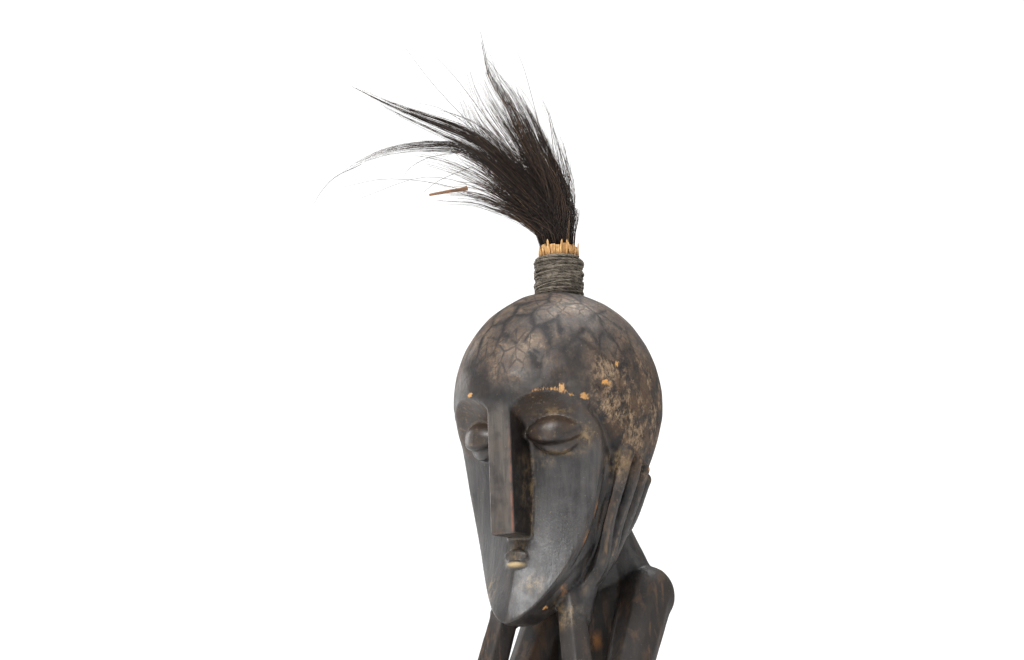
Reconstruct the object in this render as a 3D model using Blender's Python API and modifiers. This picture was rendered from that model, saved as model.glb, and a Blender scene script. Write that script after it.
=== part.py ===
"""A seated thinking figure carved from one block of dark wood, with a bound tuft of hair on its crown.

The figure faces -Y and its own left side is at +X. The origin is on the floor, at the middle of the base.
Four pieces: the carving with its stool and base, the ring of splints, the cord bound round them, the hair.
"""

import math

import bmesh
import bpy
import numpy as np
from mathutils import Matrix, Vector

# Driving dimensions, in metres
FIGURE_HEIGHT = 0.570  # from the top of the base to the crown
BASE_HEIGHT = 0.030
BASE_SIDE_MARGIN = 0.009  # base beyond the knees
BASE_END_MARGIN = 0.009  # base beyond the toes and the stool
BASE_CORNER = 2.9  # 2 is an oval, more is squarer
BASE_TAPER = 0.96  # the top's size over the underside's
BASE_SPARE = 0.3  # share of the base's height that is cut away flat at the floor
STOOL_DIAMETER = 0.092
STOOL_TAPER = 0.92
TUFT_DIAMETER = 0.0290  # outside of the ring of splints
SPLINT_THICKNESS = 0.0028
SPLINT_RISE = 0.0125  # splints above the cord
SPLINT_COUNT = 22
SPLINT_NOTCH = 0.45  # depth of the notches between broken splints, as a share of their rise
SPLINT_SHORTEST = 0.45  # the shortest splint, as a share of the tallest
SOCKET_DEPTH = 0.012  # hole in the crown that holds the tuft
CORD_DIAMETER = 0.0027
CORD_TURNS = 11
CORD_GROOVE = 0.55  # thickness left in the groove between two turns, as a share of the cord's
HAIR_HEIGHT = 0.158  # tallest lock above the splints
CLEARANCE = 0.0003  # gap left between pieces that touch

# Fineness of the faceted solids
CARVING_VOXEL = 0.0021
CARVING_TRIANGLES = 6900
SOFTEN_STEPS = 4

# The carving is drawn in millimetres on a figure 570 mm tall. MM turns that drawing into metres.
CHIN_LEVEL = 336.0
HEAD_HEIGHT = 234.0
MM = FIGURE_HEIGHT / (CHIN_LEVEL + HEAD_HEIGHT)
SKULL_LEVEL = 155.0  # widest part of the skull, above the chin
SKULL_CORNER = 2.12  # 2 is an oval section, more is squarer
JAW_SQUARENESS = 0.4  # how much squarer the sections are at the chin
JAW_TOP = 100.0
CROWN_CENTRING = 2.0  # how fast the sections' middles draw in to the axis below the crown

# Level above the chin, then the head's half width and how far it comes forward and runs back there
HEAD_STATIONS = (
    (0.0, 7.0, 57.0, -34.0),
    (6.0, 15.0, 58.0, -24.0),
    (16.0, 24.0, 56.0, -10.0),
    (31.0, 33.0, 52.0, 7.0),
    (49.0, 39.5, 48.0, 26.0),
    (72.0, 45.5, 48.0, 45.0),
    (105.0, 58.0, 57.0, 62.5),
    (130.0, 66.0, 67.5, 73.0),
    (SKULL_LEVEL, 69.5, 72.5, 78.0),
    (180.0, 66.0, 67.5, 73.0),
)

FACE_HALF_WIDTH = 57.5
FACE_WIDEST = 127.0
FACE_TAPER = 1.5  # exponents of the face's outline from its widest level down to the chin
FACE_FULLNESS = 0.58
ARCH_CENTRE = 35.0
ARCH_HEIGHT = 26.0
BRIDGE_LEVEL = 141.0
FACE_CENTRE = 85.0  # level that the face outline is drawn round
BROW_RISE = 17.0
BROW_START = 112.0
BROW_SOFTNESS = 26.0
BROW_EDGE = 7.0  # how close to the outline the surface turns out under the brow
FACE_BOW = (1.1, 0.5)  # exponent of the face's sideways curve at the chin, and what it gains by the skull
RIM_THICKNESS = 5.0
PLATE_SINK = 0.05  # the plate lies this much behind the cut surface
PLATE_DEPTH = 70.0  # the plate thickens this much from its rim to its middle
CHIN_THICKNESS = 14.0  # extra thickness of the plate at the chin
CHIN_TOP = 30.0  # where that extra thickness ends
CUTTER_FRONT = 130.0

# Level above the chin, then how far forward the face lies at its middle and at its edge
FACE_STATIONS = (
    (0.0, 61.5, 61.0),
    (6.0, 60.5, 58.0),
    (14.0, 58.4, 52.4),
    (31.0, 53.2, 42.7),
    (49.0, 49.0, 35.2),
    (72.0, 45.0, 30.6),
    (95.0, 43.5, 30.0),
    (111.0, 45.5, 31.4),
    (127.0, 50.0, 36.0),
    (152.0, 55.0, 42.0),
)

NOSE_HALF_WIDTH = 9.4
NOSE_BACK = 30.0
NOSE_BOTTOM = 57.0
NOSE_TOP = 156.0
NOSE_NARROWING = 0.6  # the bridge is this much narrower on each side
NOSE_EDGE = 1.2
NOSE_TIP_FRONT = 66.5
NOSE_BRIDGE_FRONT = 72.5
EYE_PLACE = (28.5, 43.0, 124.5)
EYE_TURN = math.radians(23.0)
EYE_TILT = math.radians(-4.5)
UPPER_LID = (21.0, 13.5, 12.5)  # half length, bulge, half height
LOWER_LID = (18.5, 11.5, 11.0)
LOWER_LID_DROP = 5.5
LID_POINTS = (1.5, 1.4)  # 1 is an oval, more draws the corners out
MOUTH_LEVEL = 42.0
UPPER_LIP = (5.2, 5.0, 8.5)
LOWER_LIP = (8.0, 3.6, 2.4)
UPPER_LIP_SINK = 2.0
LOWER_LIP_DROP = 1.5
LOWER_LIP_POINT = 1.6

# Joints of the left limbs: across, back, above the base
SHOULDER = (37.0, 56.0, 361.0)
ELBOW = (59.0, -44.0, 193.0)
WRIST = (28.0, -24.0, 341.0)
HIP = (27.0, 52.0, 82.0)
KNEE = (57.0, -43.0, 169.0)
ANKLE = (37.0, -44.0, 22.0)
TOES = (41.0, -92.0, 6.0)
NECK_TOP = (0.0, 20.0, 452.0)
NECK_ROOT = (0.0, 57.0, 372.0)

# Where a limb's middle lies: a share of the way between its joints, then a shift off that line
UPPER_ARM_BEND = (0.4, (-3.5, 1.5, 0.0))
FOREARM_BEND = (0.5, (0.5, -1.0, 0.0))
THIGH_BEND = (0.5, (2.0, 0.0, 2.0))
CALF_BEND = (0.35, (1.0, 6.0, 0.0))
SHIN_BEND = (0.8, (0.0, 0.0, 0.0))
FOOT_BEND = (0.4, (0.0, 0.0, 2.0))
NECK_BEND = (0.5, (0.0, 2.0, 0.0))
HEEL_BACK = 13.0  # heel behind the ankle
HEEL_LEVEL = 9.0
YOKE_ARCH = 5.0  # the shoulders' line rises and runs back this much at its middle

TRAPEZIUS = (((4.0, 34.0, 436.0), 15.0), ((17.0, 49.0, 394.0), 16.0), ((33.0, 57.0, 366.0), 13.0))
RIB_CAGE = ((0.0, 59.0, 322.0), (34.0, 27.0, 54.0))
SHOULDER_BLADE = ((18.0, 75.0, 336.0), (15.0, 9.0, 29.0))
BLADE_TILT = math.radians(-12.0)

# Radii along each limb, and of the balls at its joints
UPPER_ARM = (19.5, 16.0, 14.5)
FOREARM = (14.0, 12.4, 10.2)
SHOULDER_BALL = (20.0, 20.0, 20.5)
ELBOW_BALL = (15.0, 15.5, 15.0)
THIGH = (26.0, 24.0, 18.5)
HIP_BALL = (28.0, 28.0, 26.0)
KNEE_BALL = (19.0, 20.0, 19.5)
SHIN = (18.0, 17.0, 12.0, 11.0)
HEEL_BALL = (12.0, 12.0, 12.0)
FOOT = (11.0, 13.5, 15.0)
FOOT_FLATNESS = 0.72
TOE_DEPTH = 11.0
STOOL_TOP = 70.0
NECK = (23.0, 27.0, 29.0, 20.0)
YOKE = (18.0, 20.0, 21.0, 20.0, 18.0)
TRUNK_FLATNESS = 1.25
TRUNK = (
    ((0.0, 50.0, 384.0), 20.0),
    ((0.0, 57.0, 360.0), 28.0),
    ((0.0, 60.0, 325.0), 27.0),
    ((0.0, 63.0, 270.0), 24.5),
    ((0.0, 63.0, 205.0), 22.5),
    ((0.0, 60.0, 150.0), 25.0),
    ((0.0, 54.0, 100.0), 31.0),
    ((0.0, 52.0, 62.0), 28.0),
)

FINGER_LEVELS = (20.0, 41.0, 70.0, 96.0)
FINGER_FRONT = (-17.0, -11.0, -11.5, -10.0)
FINGER_BACK = (2.0, 16.0, 26.5, 31.5)
FINGER_TIPS = (115.0, 111.0, 107.0, 102.0)
FINGER_RADII = (5.6, 5.0, 4.6, 4.4)
FINGER_LIFT = 3.2  # the fingers' middles stand this far out of the head at their roots
FINGER_SINK = 0.8  # share of that lift that is lost by the tips
FINGER_SWELL = 1.35  # thickness at the roots over the tips' radius
FINGER_THINNING = 0.45
FINGER_END = 1.2  # the tips' balls are this much longer than wide
PALM_SHIFT = (1.0, -2.0, 2.0)  # where the first finger leaves the wrist
PALM_SPREAD = 6.0  # how far behind it the last one does
PALM_RADIUS = 9.0

# Locks of hair: how far each leans and rises, in millimetres along its path, then turn and root radius
LEAN_BEARING = math.radians(214.5)  # the tuft falls forward and to the figure's right
LOCKS = {
    "tall": (((0, 0), (3, 30), (12, 55), (23, 80), (34, 103), (46, 120), (52, 137), (58, 156)), 10, 6.4),
    "back": (((-5, 0), (-5, 22), (-2, 40), (6, 60), (16, 80), (26, 98), (34, 118)), 32, 5.6),
    "middle": (((0, 0), (12, 30), (32, 55), (49, 75), (62, 92), (74, 126)), -16, 6.0),
    "long": (((2, 0), (13, 23), (28, 43), (44, 59), (60, 72), (94, 86), (118, 96), (154, 114)), 4, 6.4),
    "drooping": (
        ((2, 0), (14, 24), (31, 45), (53, 61), (72, 71), (110, 72), (140, 64), (169, 44)), -9, 5.2
    ),
    "low": (((4, 0), (20, 15), (37, 28), (54, 38), (73, 46), (92, 49), (110, 50)), 15, 5.4),
    "lowest": (((5, 1), (22, 12), (41, 24), (58, 30), (78, 31), (92, 33)), -6, 4.6),
}
LOCK_TIP_RADIUS = 0.9
LOCK_ROOT_SHARE = 0.62  # a lock is this much thinner where it leaves the splints
LOCK_SPACING = 1.2
LOCK_SIDES = 2  # bevel resolution: eight sides
HAIR_STUB = 0.003  # the bundle stands this far out of the splints before it parts

BASE_HALF_WIDTH = (KNEE[0] + THIGH[-1]) * MM + BASE_SIDE_MARGIN
BASE_FRONT = (TOE_DEPTH - TOES[1]) * MM + BASE_END_MARGIN
BASE_BACK = HIP[1] * MM + STOOL_DIAMETER / 2 + BASE_END_MARGIN
CROWN = BASE_HEIGHT + FIGURE_HEIGHT
TUFT_RADIUS = TUFT_DIAMETER / 2
TUFT_BACK = 0.004  # the tuft stands a little behind the middle of the head
CORD_RADIUS = TUFT_RADIUS + CLEARANCE + CORD_DIAMETER
SEAT_SINK = 0.0012  # the crown is cut flat for the cord, a little deeper than its curve needs
CROWN_ROUNDING = HEAD_STATIONS[-2][1] ** 2 / (HEAD_HEIGHT - SKULL_LEVEL) * MM
CORD_SEAT = CROWN - CORD_RADIUS**2 / (2 * CROWN_ROUNDING) - SEAT_SINK
CORD_HEIGHT = CORD_DIAMETER * CORD_TURNS
SPLINT_TOP = CORD_SEAT + CORD_HEIGHT + SPLINT_RISE
HAIR_RADIUS = TUFT_RADIUS - SPLINT_THICKNESS - CLEARANCE
LOCK_SCALE = HAIR_HEIGHT / max(rise for path, _, _ in LOCKS.values() for _, rise in path)


def remove_all_objects():
    for obj in list(bpy.data.objects):
        bpy.data.objects.remove(obj, do_unlink=True)


def new_collection(name):
    collection = bpy.data.collections.new(name)
    bpy.context.scene.collection.children.link(collection)
    return collection


def make_material(name, color, roughness):
    material = bpy.data.materials.new(name)
    material.use_nodes = True
    shader = material.node_tree.nodes["Principled BSDF"]
    shader.inputs["Base Color"].default_value = (*color, 1.0)
    shader.inputs["Roughness"].default_value = roughness
    shader.inputs["Metallic"].default_value = 0.0
    return material


def add_mesh_object(name, mesh, collection, material=None):
    obj = bpy.data.objects.new(name, mesh)
    collection.objects.link(obj)
    if material:
        mesh.materials.clear()
        mesh.materials.append(material)
    return obj


def mesh_from(bm, name):
    mesh = bpy.data.meshes.new(name)
    bm.to_mesh(mesh)
    bm.free()
    return mesh


def evaluated_mesh(obj):
    """The object's mesh after its modifiers, with a curve's loose caps welded."""
    graph = bpy.context.evaluated_depsgraph_get()
    mesh = bpy.data.meshes.new_from_object(obj.evaluated_get(graph))
    mesh.transform(obj.matrix_world)
    if obj.type == "CURVE":
        bm = bmesh.new()
        bm.from_mesh(mesh)
        bmesh.ops.remove_doubles(bm, verts=bm.verts, dist=1e-6)
        bm.to_mesh(mesh)
        bm.free()
    return mesh


def take_mesh(obj):
    """The evaluated mesh of a working object, which is then removed."""
    mesh = evaluated_mesh(obj)
    bpy.data.objects.remove(obj, do_unlink=True)
    return mesh


def join_meshes(meshes, name):
    bm = bmesh.new()
    for mesh in meshes:
        bm.from_mesh(mesh)
        bpy.data.meshes.remove(mesh)
    return mesh_from(bm, name)


def mirrored(mesh):
    """A copy of a mesh on the figure's other side."""
    copy = mesh.copy()
    copy.transform(Matrix.Scale(-1.0, 4, Vector((1.0, 0.0, 0.0))))
    copy.flip_normals()
    return copy


def curve_through(stations):
    """A smooth function through (position, value) stations, as a Catmull-Rom spline."""
    places = np.array([s[0] for s in stations])
    values = np.array([s[1] for s in stations])
    slopes = np.gradient(values, places)

    def value_at(where):
        where = np.clip(where, places[0], places[-1])
        i = np.clip(np.searchsorted(places, where) - 1, 0, len(places) - 2)
        span = places[i + 1] - places[i]
        t = (where - places[i]) / span
        ease = t * t * (3 - 2 * t)
        rise = values[i] + (values[i + 1] - values[i]) * ease
        start = slopes[i] * span * t * (1 - t) ** 2
        end = slopes[i + 1] * span * t * t * (1 - t)
        return rise + start - end

    return value_at


def corner_factor(x, y, corner):
    """How far a direction of the circle is pushed out to reach the rounded square of that corner."""
    reach = math.hypot(x, y)
    if reach < 1e-6:
        return 1.0
    return (abs(x / reach) ** corner + abs(y / reach) ** corner) ** (-1.0 / corner)


def head_section(level):
    """Half width, half depth, middle and corner of the head at a level above the chin."""
    levels = [s[0] for s in HEAD_STATIONS]
    width, front, back = (
        float(curve_through(list(zip(levels, [s[i] for s in HEAD_STATIONS])))(level)) for i in (1, 2, 3)
    )
    corner = SKULL_CORNER + JAW_SQUARENESS * max(1 - level / JAW_TOP, 0.0)
    return width, (front + back) / 2, (back - front) / 2, corner


def face_half_width(level):
    """Half width of the flat face below the eyes."""
    below = np.clip(1 - level / FACE_WIDEST, 0.0, 1.0)
    return FACE_HALF_WIDTH * np.maximum(1 - below**FACE_TAPER, 0.0) ** FACE_FULLNESS


def face_outline(steps=60):
    """Bearings and radii of the face's edge round its centre, for the left half."""
    levels = FACE_WIDEST * (np.arange(steps) / steps) ** FACE_TAPER
    sides = [(face_half_width(level), level) for level in levels]
    outer_reach = FACE_HALF_WIDTH - ARCH_CENTRE
    outer = [
        (ARCH_CENTRE + outer_reach * math.cos(a), FACE_WIDEST + ARCH_HEIGHT * math.sin(a))
        for a in np.linspace(0.0, math.pi / 2, steps // 2)
    ]
    reach = ARCH_CENTRE - NOSE_HALF_WIDTH
    drop = FACE_WIDEST + ARCH_HEIGHT - BRIDGE_LEVEL
    inner = [
        (ARCH_CENTRE - reach * math.sin(a), BRIDGE_LEVEL + drop * math.cos(a))
        for a in np.linspace(0.1, math.pi / 2, steps // 2)
    ]
    points = np.array(sides + outer + inner + [(0.0, BRIDGE_LEVEL)])
    across, up = points[:, 0], points[:, 1] - FACE_CENTRE
    bearings = np.arctan2(up, across)
    order = np.argsort(bearings)
    return bearings[order], np.hypot(across, up)[order]


def face_front(across, level, share):
    """How far forward the carved face lies. share is 1 at its outline."""
    middle = curve_through([(s[0], s[1]) for s in FACE_STATIONS])(level)
    edge = curve_through([(s[0], s[2]) for s in FACE_STATIONS])(level)
    width = np.maximum(face_half_width(np.minimum(level, FACE_WIDEST)), 1.0)
    side = np.clip(np.abs(across) / width, 0.0, 1.2)
    bow = FACE_BOW[0] + FACE_BOW[1] * np.clip(level / SKULL_LEVEL, 0.0, 1.0)
    under_brow = np.clip((level - BROW_START) / BROW_SOFTNESS, 0.0, 1.0)
    return middle + (edge - middle) * side**bow + BROW_RISE * under_brow * share**BROW_EDGE


def head_core():
    """The skull and jaw as one egg, from a sphere."""
    bm = bmesh.new()
    bmesh.ops.create_uvsphere(bm, u_segments=96, v_segments=72, radius=1.0)
    for vert in bm.verts:
        x, y, z = vert.co
        ring = max(math.hypot(x, y), 1e-6)
        if z >= 0.0:
            level = SKULL_LEVEL + z * (HEAD_HEIGHT - SKULL_LEVEL)
            shrink = ring
        else:
            level = SKULL_LEVEL * (1 + z)
            shrink = 1.0
        width, depth, middle, corner = head_section(min(level, SKULL_LEVEL))
        push = corner_factor(x, y, corner) * shrink
        middle *= min(shrink * CROWN_CENTRING, 1.0)
        vert.co = (
            x / ring * width * push * MM,
            (middle + y / ring * depth * push) * MM,
            (CHIN_LEVEL + level) * MM + BASE_HEIGHT,
        )
    return mesh_from(bm, "head_core")


def face_solid(name, near, far):
    """A solid on the face's outline between two surfaces, from a sphere. near and far give how far forward
    each surface lies at a point of the face."""
    bearings, radii = face_outline()
    bm = bmesh.new()
    bmesh.ops.create_uvsphere(bm, u_segments=112, v_segments=64, radius=1.0)
    for vert in bm.verts:
        x, y, z = vert.co
        share = min(math.hypot(x, y), 1.0)
        bearing = math.atan2(y, abs(x))
        reach = share * float(np.interp(bearing, bearings, radii))
        across = math.copysign(reach * math.cos(bearing), x)
        level = FACE_CENTRE + reach * math.sin(bearing)
        front = float(near(across, level, share))
        back = float(far(across, level, share))
        if abs(z) < 1e-5:
            forward = (front + back) / 2
        else:
            forward = front if z > 0 else back
        vert.co = (across * MM, -forward * MM, (CHIN_LEVEL + level) * MM + BASE_HEIGHT)
    bmesh.ops.recalc_face_normals(bm, faces=bm.faces)
    return mesh_from(bm, name)


def face_plate():
    """The mask-like plate of the face, thin at its rim and running back into the head."""

    def plate_back(across, level, share):
        chin = CHIN_THICKNESS * max(1 - level / CHIN_TOP, 0.0)
        return face_front(across, level, 0.0) - RIM_THICKNESS - chin - PLATE_DEPTH * (1 - share)

    def plate_front(across, level, share):
        return face_front(across, level, 0.0) - PLATE_SINK

    return face_solid("face_plate", plate_front, plate_back)


def face_cutter():
    """What the carver took away in front of the face."""
    return face_solid("face_cutter", lambda across, level, share: CUTTER_FRONT, face_front)


def tube(name, points, radii, collection, squash=(1.0, 1.0, 1.0), poly=False, sides=6):
    """A tapering limb through drawing points, as a bevelled curve made into a closed mesh."""
    data = bpy.data.curves.new(name, "CURVE")
    data.dimensions = "3D"
    data.bevel_depth = 1.0
    data.bevel_resolution = sides
    data.use_fill_caps = True
    data.resolution_u = 1 if poly else 8
    spline = data.splines.new("POLY" if poly else "BEZIER")
    centre = Vector(points[0])
    if poly:
        spline.points.add(len(points) - 1)
        targets = spline.points
    else:
        spline.bezier_points.add(len(points) - 1)
        targets = spline.bezier_points
    for target, point, radius in zip(targets, points, radii):
        local = [(p - c) / s for p, c, s in zip(point, centre, squash)]
        target.co = (*local, 1.0) if poly else local
        target.radius = radius
        if not poly:
            target.handle_left_type = target.handle_right_type = "AUTO"
    obj = bpy.data.objects.new(name, data)
    collection.objects.link(obj)
    obj.matrix_world = Matrix.Translation(centre) @ Matrix.Diagonal((*squash, 1.0))
    bpy.context.view_layer.update()
    return take_mesh(obj)


def placed(mesh):
    """Turns a mesh from drawing millimetres above the base into metres above the floor."""
    mesh.transform(Matrix.Translation((0.0, 0.0, BASE_HEIGHT)) @ Matrix.Scale(MM, 4))
    return mesh


def ball(centre, radii, turn=0.0, tilt=0.0, point=1.0):
    """An ellipsoid in drawing millimetres. point above 1 draws its two ends out like an almond."""
    bm = bmesh.new()
    bmesh.ops.create_uvsphere(bm, u_segments=32, v_segments=20, radius=1.0)
    for vert in bm.verts:
        x, y, z = vert.co
        pinch = max(1 - x * x, 0.0) ** ((point - 1) / 2)
        vert.co = (x * radii[0], y * pinch * radii[1], z * pinch * radii[2])
    spin = Matrix.Rotation(turn, 4, "Z") @ Matrix.Rotation(tilt, 4, "Y")
    bm.transform(Matrix.Translation(centre) @ spin)
    return mesh_from(bm, "ball")


def nose_bar():
    """The long flat-fronted nose, running up flush into the forehead."""
    bm = bmesh.new()
    bmesh.ops.create_cube(bm, size=2.0)
    edges = [e for e in bm.edges if all(v.co.y < 0 for v in e.verts)]
    for vert in bm.verts:
        top = vert.co.z > 0
        front = NOSE_BRIDGE_FRONT if top else NOSE_TIP_FRONT
        vert.co = (
            vert.co.x * (NOSE_HALF_WIDTH - (NOSE_NARROWING if top else 0.0)),
            -front if vert.co.y < 0 else -NOSE_BACK,
            CHIN_LEVEL + (NOSE_TOP if top else NOSE_BOTTOM),
        )
    bmesh.ops.bevel(bm, geom=edges, offset=NOSE_EDGE, segments=2, profile=0.5, affect="EDGES")
    return mesh_from(bm, "nose")


def eye_meshes():
    """One closed eye as two lids, the upper one full and standing over the lower one."""
    across, forward, level = EYE_PLACE
    high = (across, -forward, CHIN_LEVEL + level)
    low = (across, -forward, CHIN_LEVEL + level - LOWER_LID_DROP)
    return [
        ball(high, UPPER_LID, EYE_TURN, EYE_TILT, LID_POINTS[0]),
        ball(low, LOWER_LID, EYE_TURN, EYE_TILT, LID_POINTS[1]),
    ]


def mouth_meshes():
    """A short raised upper lip with its groove, and a small crescent of lower lip."""
    front = float(face_front(0.0, MOUTH_LEVEL, 0.0))
    level = CHIN_LEVEL + MOUTH_LEVEL
    return [
        ball((0.0, UPPER_LIP_SINK - front, level + UPPER_LIP[2]), UPPER_LIP),
        ball((0.0, -front, level - LOWER_LIP_DROP), LOWER_LIP, point=LOWER_LIP_POINT),
    ]


def on_head(level, back, lift):
    """A point on the side of the head at a level above the chin, lifted off the surface."""
    width, depth, middle, corner = head_section(level)
    lean = min(abs(back - middle) / depth, 0.97)
    return (width * (1 - lean**corner) ** (1 / corner) + lift, back, CHIN_LEVEL + level)


def finger_meshes(collection):
    """Four long fingers that fan up the jaw from the wrist to behind the cheek."""
    front = curve_through(list(zip(FINGER_LEVELS, FINGER_FRONT)))
    back = curve_through(list(zip(FINGER_LEVELS, FINGER_BACK)))
    meshes = []
    last = len(FINGER_TIPS) - 1
    for number, (tip, radius) in enumerate(zip(FINGER_TIPS, FINGER_RADII)):
        share = number / last
        root = [w + shift for w, shift in zip(WRIST, PALM_SHIFT)]
        root[1] += PALM_SPREAD * share
        points, radii = [root], [PALM_RADIUS]
        for level in (*FINGER_LEVELS, tip):
            reach = float(front(level)) * (1 - share) + float(back(level)) * share
            rise = min(max((level - FINGER_LEVELS[0]) / (tip - FINGER_LEVELS[0]), 0.0), 1.0)
            points.append(on_head(level, reach, FINGER_LIFT * (1 - FINGER_SINK * rise)))
            radii.append(radius * (FINGER_SWELL - FINGER_THINNING * rise))
        meshes.append(tube(f"finger_{number}", points, radii, collection))
        meshes.append(ball(points[-1], (radii[-1], radii[-1], radii[-1] * FINGER_END)))
    return meshes


def between(start, end, share, shift):
    return tuple(s + (e - s) * share + d for s, e, d in zip(start, end, shift))


def arm_meshes(collection):
    """Upper arm from the shoulder to the elbow on the knee, and the forearm up to the chin."""
    upper = [SHOULDER, between(SHOULDER, ELBOW, *UPPER_ARM_BEND), ELBOW]
    fore = [ELBOW, between(ELBOW, WRIST, *FOREARM_BEND), WRIST]
    return [
        tube("upper_arm", upper, UPPER_ARM, collection),
        ball(SHOULDER, SHOULDER_BALL),
        ball(ELBOW, ELBOW_BALL),
        tube("forearm", fore, FOREARM, collection),
    ]


def leg_meshes(collection):
    """A folded leg: thigh, knee under the elbow, shin and foot."""
    thigh = [HIP, between(HIP, KNEE, *THIGH_BEND), KNEE]
    shin = [KNEE, between(KNEE, ANKLE, *CALF_BEND), between(KNEE, ANKLE, *SHIN_BEND), ANKLE]
    heel = (ANKLE[0], ANKLE[1] + HEEL_BACK, HEEL_LEVEL)
    foot = [heel, between(heel, TOES, *FOOT_BEND), TOES]
    return [
        tube("thigh", thigh, THIGH, collection),
        ball(KNEE, KNEE_BALL),
        ball(HIP, HIP_BALL),
        tube("shin", shin, SHIN, collection),
        ball(heel, HEEL_BALL),
        tube("foot", foot, FOOT, collection, squash=(1.0, 1.0, FOOT_FLATNESS)),
        ball(TOES, (FOOT[-1], TOE_DEPTH, FOOT[-1] * FOOT_FLATNESS)),
    ]


def torso_meshes(collection):
    """Neck, hunched shoulders, ribs, long back and seat."""
    centres = [place for place, _ in TRUNK]
    radii = [radius for _, radius in TRUNK]
    neck = [NECK_TOP, between(NECK_TOP, NECK_ROOT, *NECK_BEND), NECK_ROOT, RIB_CAGE[0]]
    yoke = []
    for side in np.linspace(-1.0, 1.0, len(YOKE)):
        arch = YOKE_ARCH * (1 - side * side)
        yoke.append((SHOULDER[0] * side, SHOULDER[1] + arch, SHOULDER[2] + arch))
    trapezius = tube("trapezius", [p for p, _ in TRAPEZIUS], [r for _, r in TRAPEZIUS], collection)
    blade = ball(*SHOULDER_BLADE, tilt=BLADE_TILT)
    return [
        ball(*RIB_CAGE),
        blade,
        mirrored(blade),
        trapezius,
        mirrored(trapezius),
        tube("trunk", centres, radii, collection, squash=(TRUNK_FLATNESS, 1.0, 1.0)),
        tube("neck", neck, NECK, collection),
        tube("shoulder_yoke", yoke, YOKE, collection),
    ]


def stool_and_base():
    """The round stool and the base, carved in one with the figure."""
    stool = bmesh.new()
    top = BASE_HEIGHT + STOOL_TOP * MM
    low = BASE_HEIGHT / 2
    bmesh.ops.create_cone(
        stool,
        cap_ends=True,
        segments=48,
        radius1=STOOL_DIAMETER / 2,
        radius2=STOOL_DIAMETER / 2 * STOOL_TAPER,
        depth=top - low,
    )
    stool.transform(Matrix.Translation((0.0, HIP[1] * MM, (top + low) / 2)))
    base = bmesh.new()
    spare = BASE_HEIGHT * BASE_SPARE
    bmesh.ops.create_cone(base, cap_ends=True, segments=72, radius1=1.0, radius2=BASE_TAPER, depth=1.0)
    for vert in base.verts:
        push = corner_factor(vert.co.x, vert.co.y, BASE_CORNER)
        vert.co.x *= push
        vert.co.y *= push
    size = Matrix.Diagonal((BASE_HALF_WIDTH, (BASE_FRONT + BASE_BACK) / 2, BASE_HEIGHT + spare, 1.0))
    centre = (0.0, (BASE_BACK - BASE_FRONT) / 2, (BASE_HEIGHT - spare) / 2)
    base.transform(Matrix.Translation(centre) @ size)
    return [mesh_from(stool, "stool"), mesh_from(base, "base")]


def cylinder_cutter(name, radius, low, high, collection):
    """An upright cylinder on the tuft's axis."""
    bm = bmesh.new()
    bmesh.ops.create_cone(bm, cap_ends=True, segments=40, radius1=radius, radius2=radius, depth=high - low)
    bm.transform(Matrix.Translation((0.0, TUFT_BACK, (low + high) / 2)))
    return add_cutter(name, bm, collection)


def add_cutter(name, bm, collection):
    obj = add_mesh_object(name, mesh_from(bm, name), collection)
    obj.hide_render = True
    obj.display_type = "WIRE"
    return obj


def add_boolean(obj, cutter, operation="DIFFERENCE"):
    modifier = obj.modifiers.new(cutter.name, "BOOLEAN")
    modifier.operation = operation
    modifier.solver = "EXACT"
    modifier.object = cutter


def carved_head(collection):
    """The head with the face cut into it and the plate, nose, lids and mouth standing on it."""
    core = add_mesh_object("head_blank", head_core(), collection)
    cutter = add_mesh_object("face_cut", face_cutter(), collection)
    add_boolean(core, cutter)
    bpy.context.view_layer.update()
    head = take_mesh(core)
    bpy.data.objects.remove(cutter, do_unlink=True)
    eyes = eye_meshes()
    details = [nose_bar(), *mouth_meshes(), *eyes, *[mirrored(eye) for eye in eyes]]
    return [head, face_plate(), *[placed(mesh) for mesh in details]]


def make_figure(collection, cutters, material):
    """The whole carving: every form is joined by a voxel remesh, then thinned and cut true."""
    left = [*finger_meshes(cutters), *arm_meshes(cutters), *leg_meshes(cutters)]
    body = [*left, *[mirrored(mesh) for mesh in left], *torso_meshes(cutters)]
    forms = [*carved_head(cutters), *[placed(mesh) for mesh in body], *stool_and_base()]
    figure = add_mesh_object("carved_figure", join_meshes(forms, "carved_figure"), collection, material)

    remesh = figure.modifiers.new("join_forms", "REMESH")
    remesh.mode = "VOXEL"
    remesh.voxel_size = CARVING_VOXEL
    smooth = figure.modifiers.new("soften", "SMOOTH")
    smooth.factor = 0.5
    smooth.iterations = SOFTEN_STEPS
    bpy.context.view_layer.update()
    counted = evaluated_mesh(figure)
    counted.calc_loop_triangles()
    thin = figure.modifiers.new("thin_out", "DECIMATE")
    thin.ratio = CARVING_TRIANGLES / len(counted.loop_triangles)
    bpy.data.meshes.remove(counted)

    floor = bmesh.new()
    bmesh.ops.create_cube(floor, size=1.0)
    size = Matrix.Diagonal((BASE_HALF_WIDTH * 4, (BASE_FRONT + BASE_BACK) * 2, BASE_HEIGHT, 1.0))
    floor.transform(Matrix.Translation((0.0, 0.0, -BASE_HEIGHT / 2)) @ size)
    add_boolean(figure, add_cutter("floor_cut", floor, cutters))
    above = CROWN + CORD_HEIGHT
    seat = cylinder_cutter("seat_cut", CORD_RADIUS + CORD_DIAMETER, CORD_SEAT, above, cutters)
    socket = cylinder_cutter("socket_cut", TUFT_RADIUS + CLEARANCE, CORD_SEAT - SOCKET_DEPTH, above, cutters)
    add_boolean(figure, seat)
    add_boolean(figure, socket)
    return figure


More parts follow.
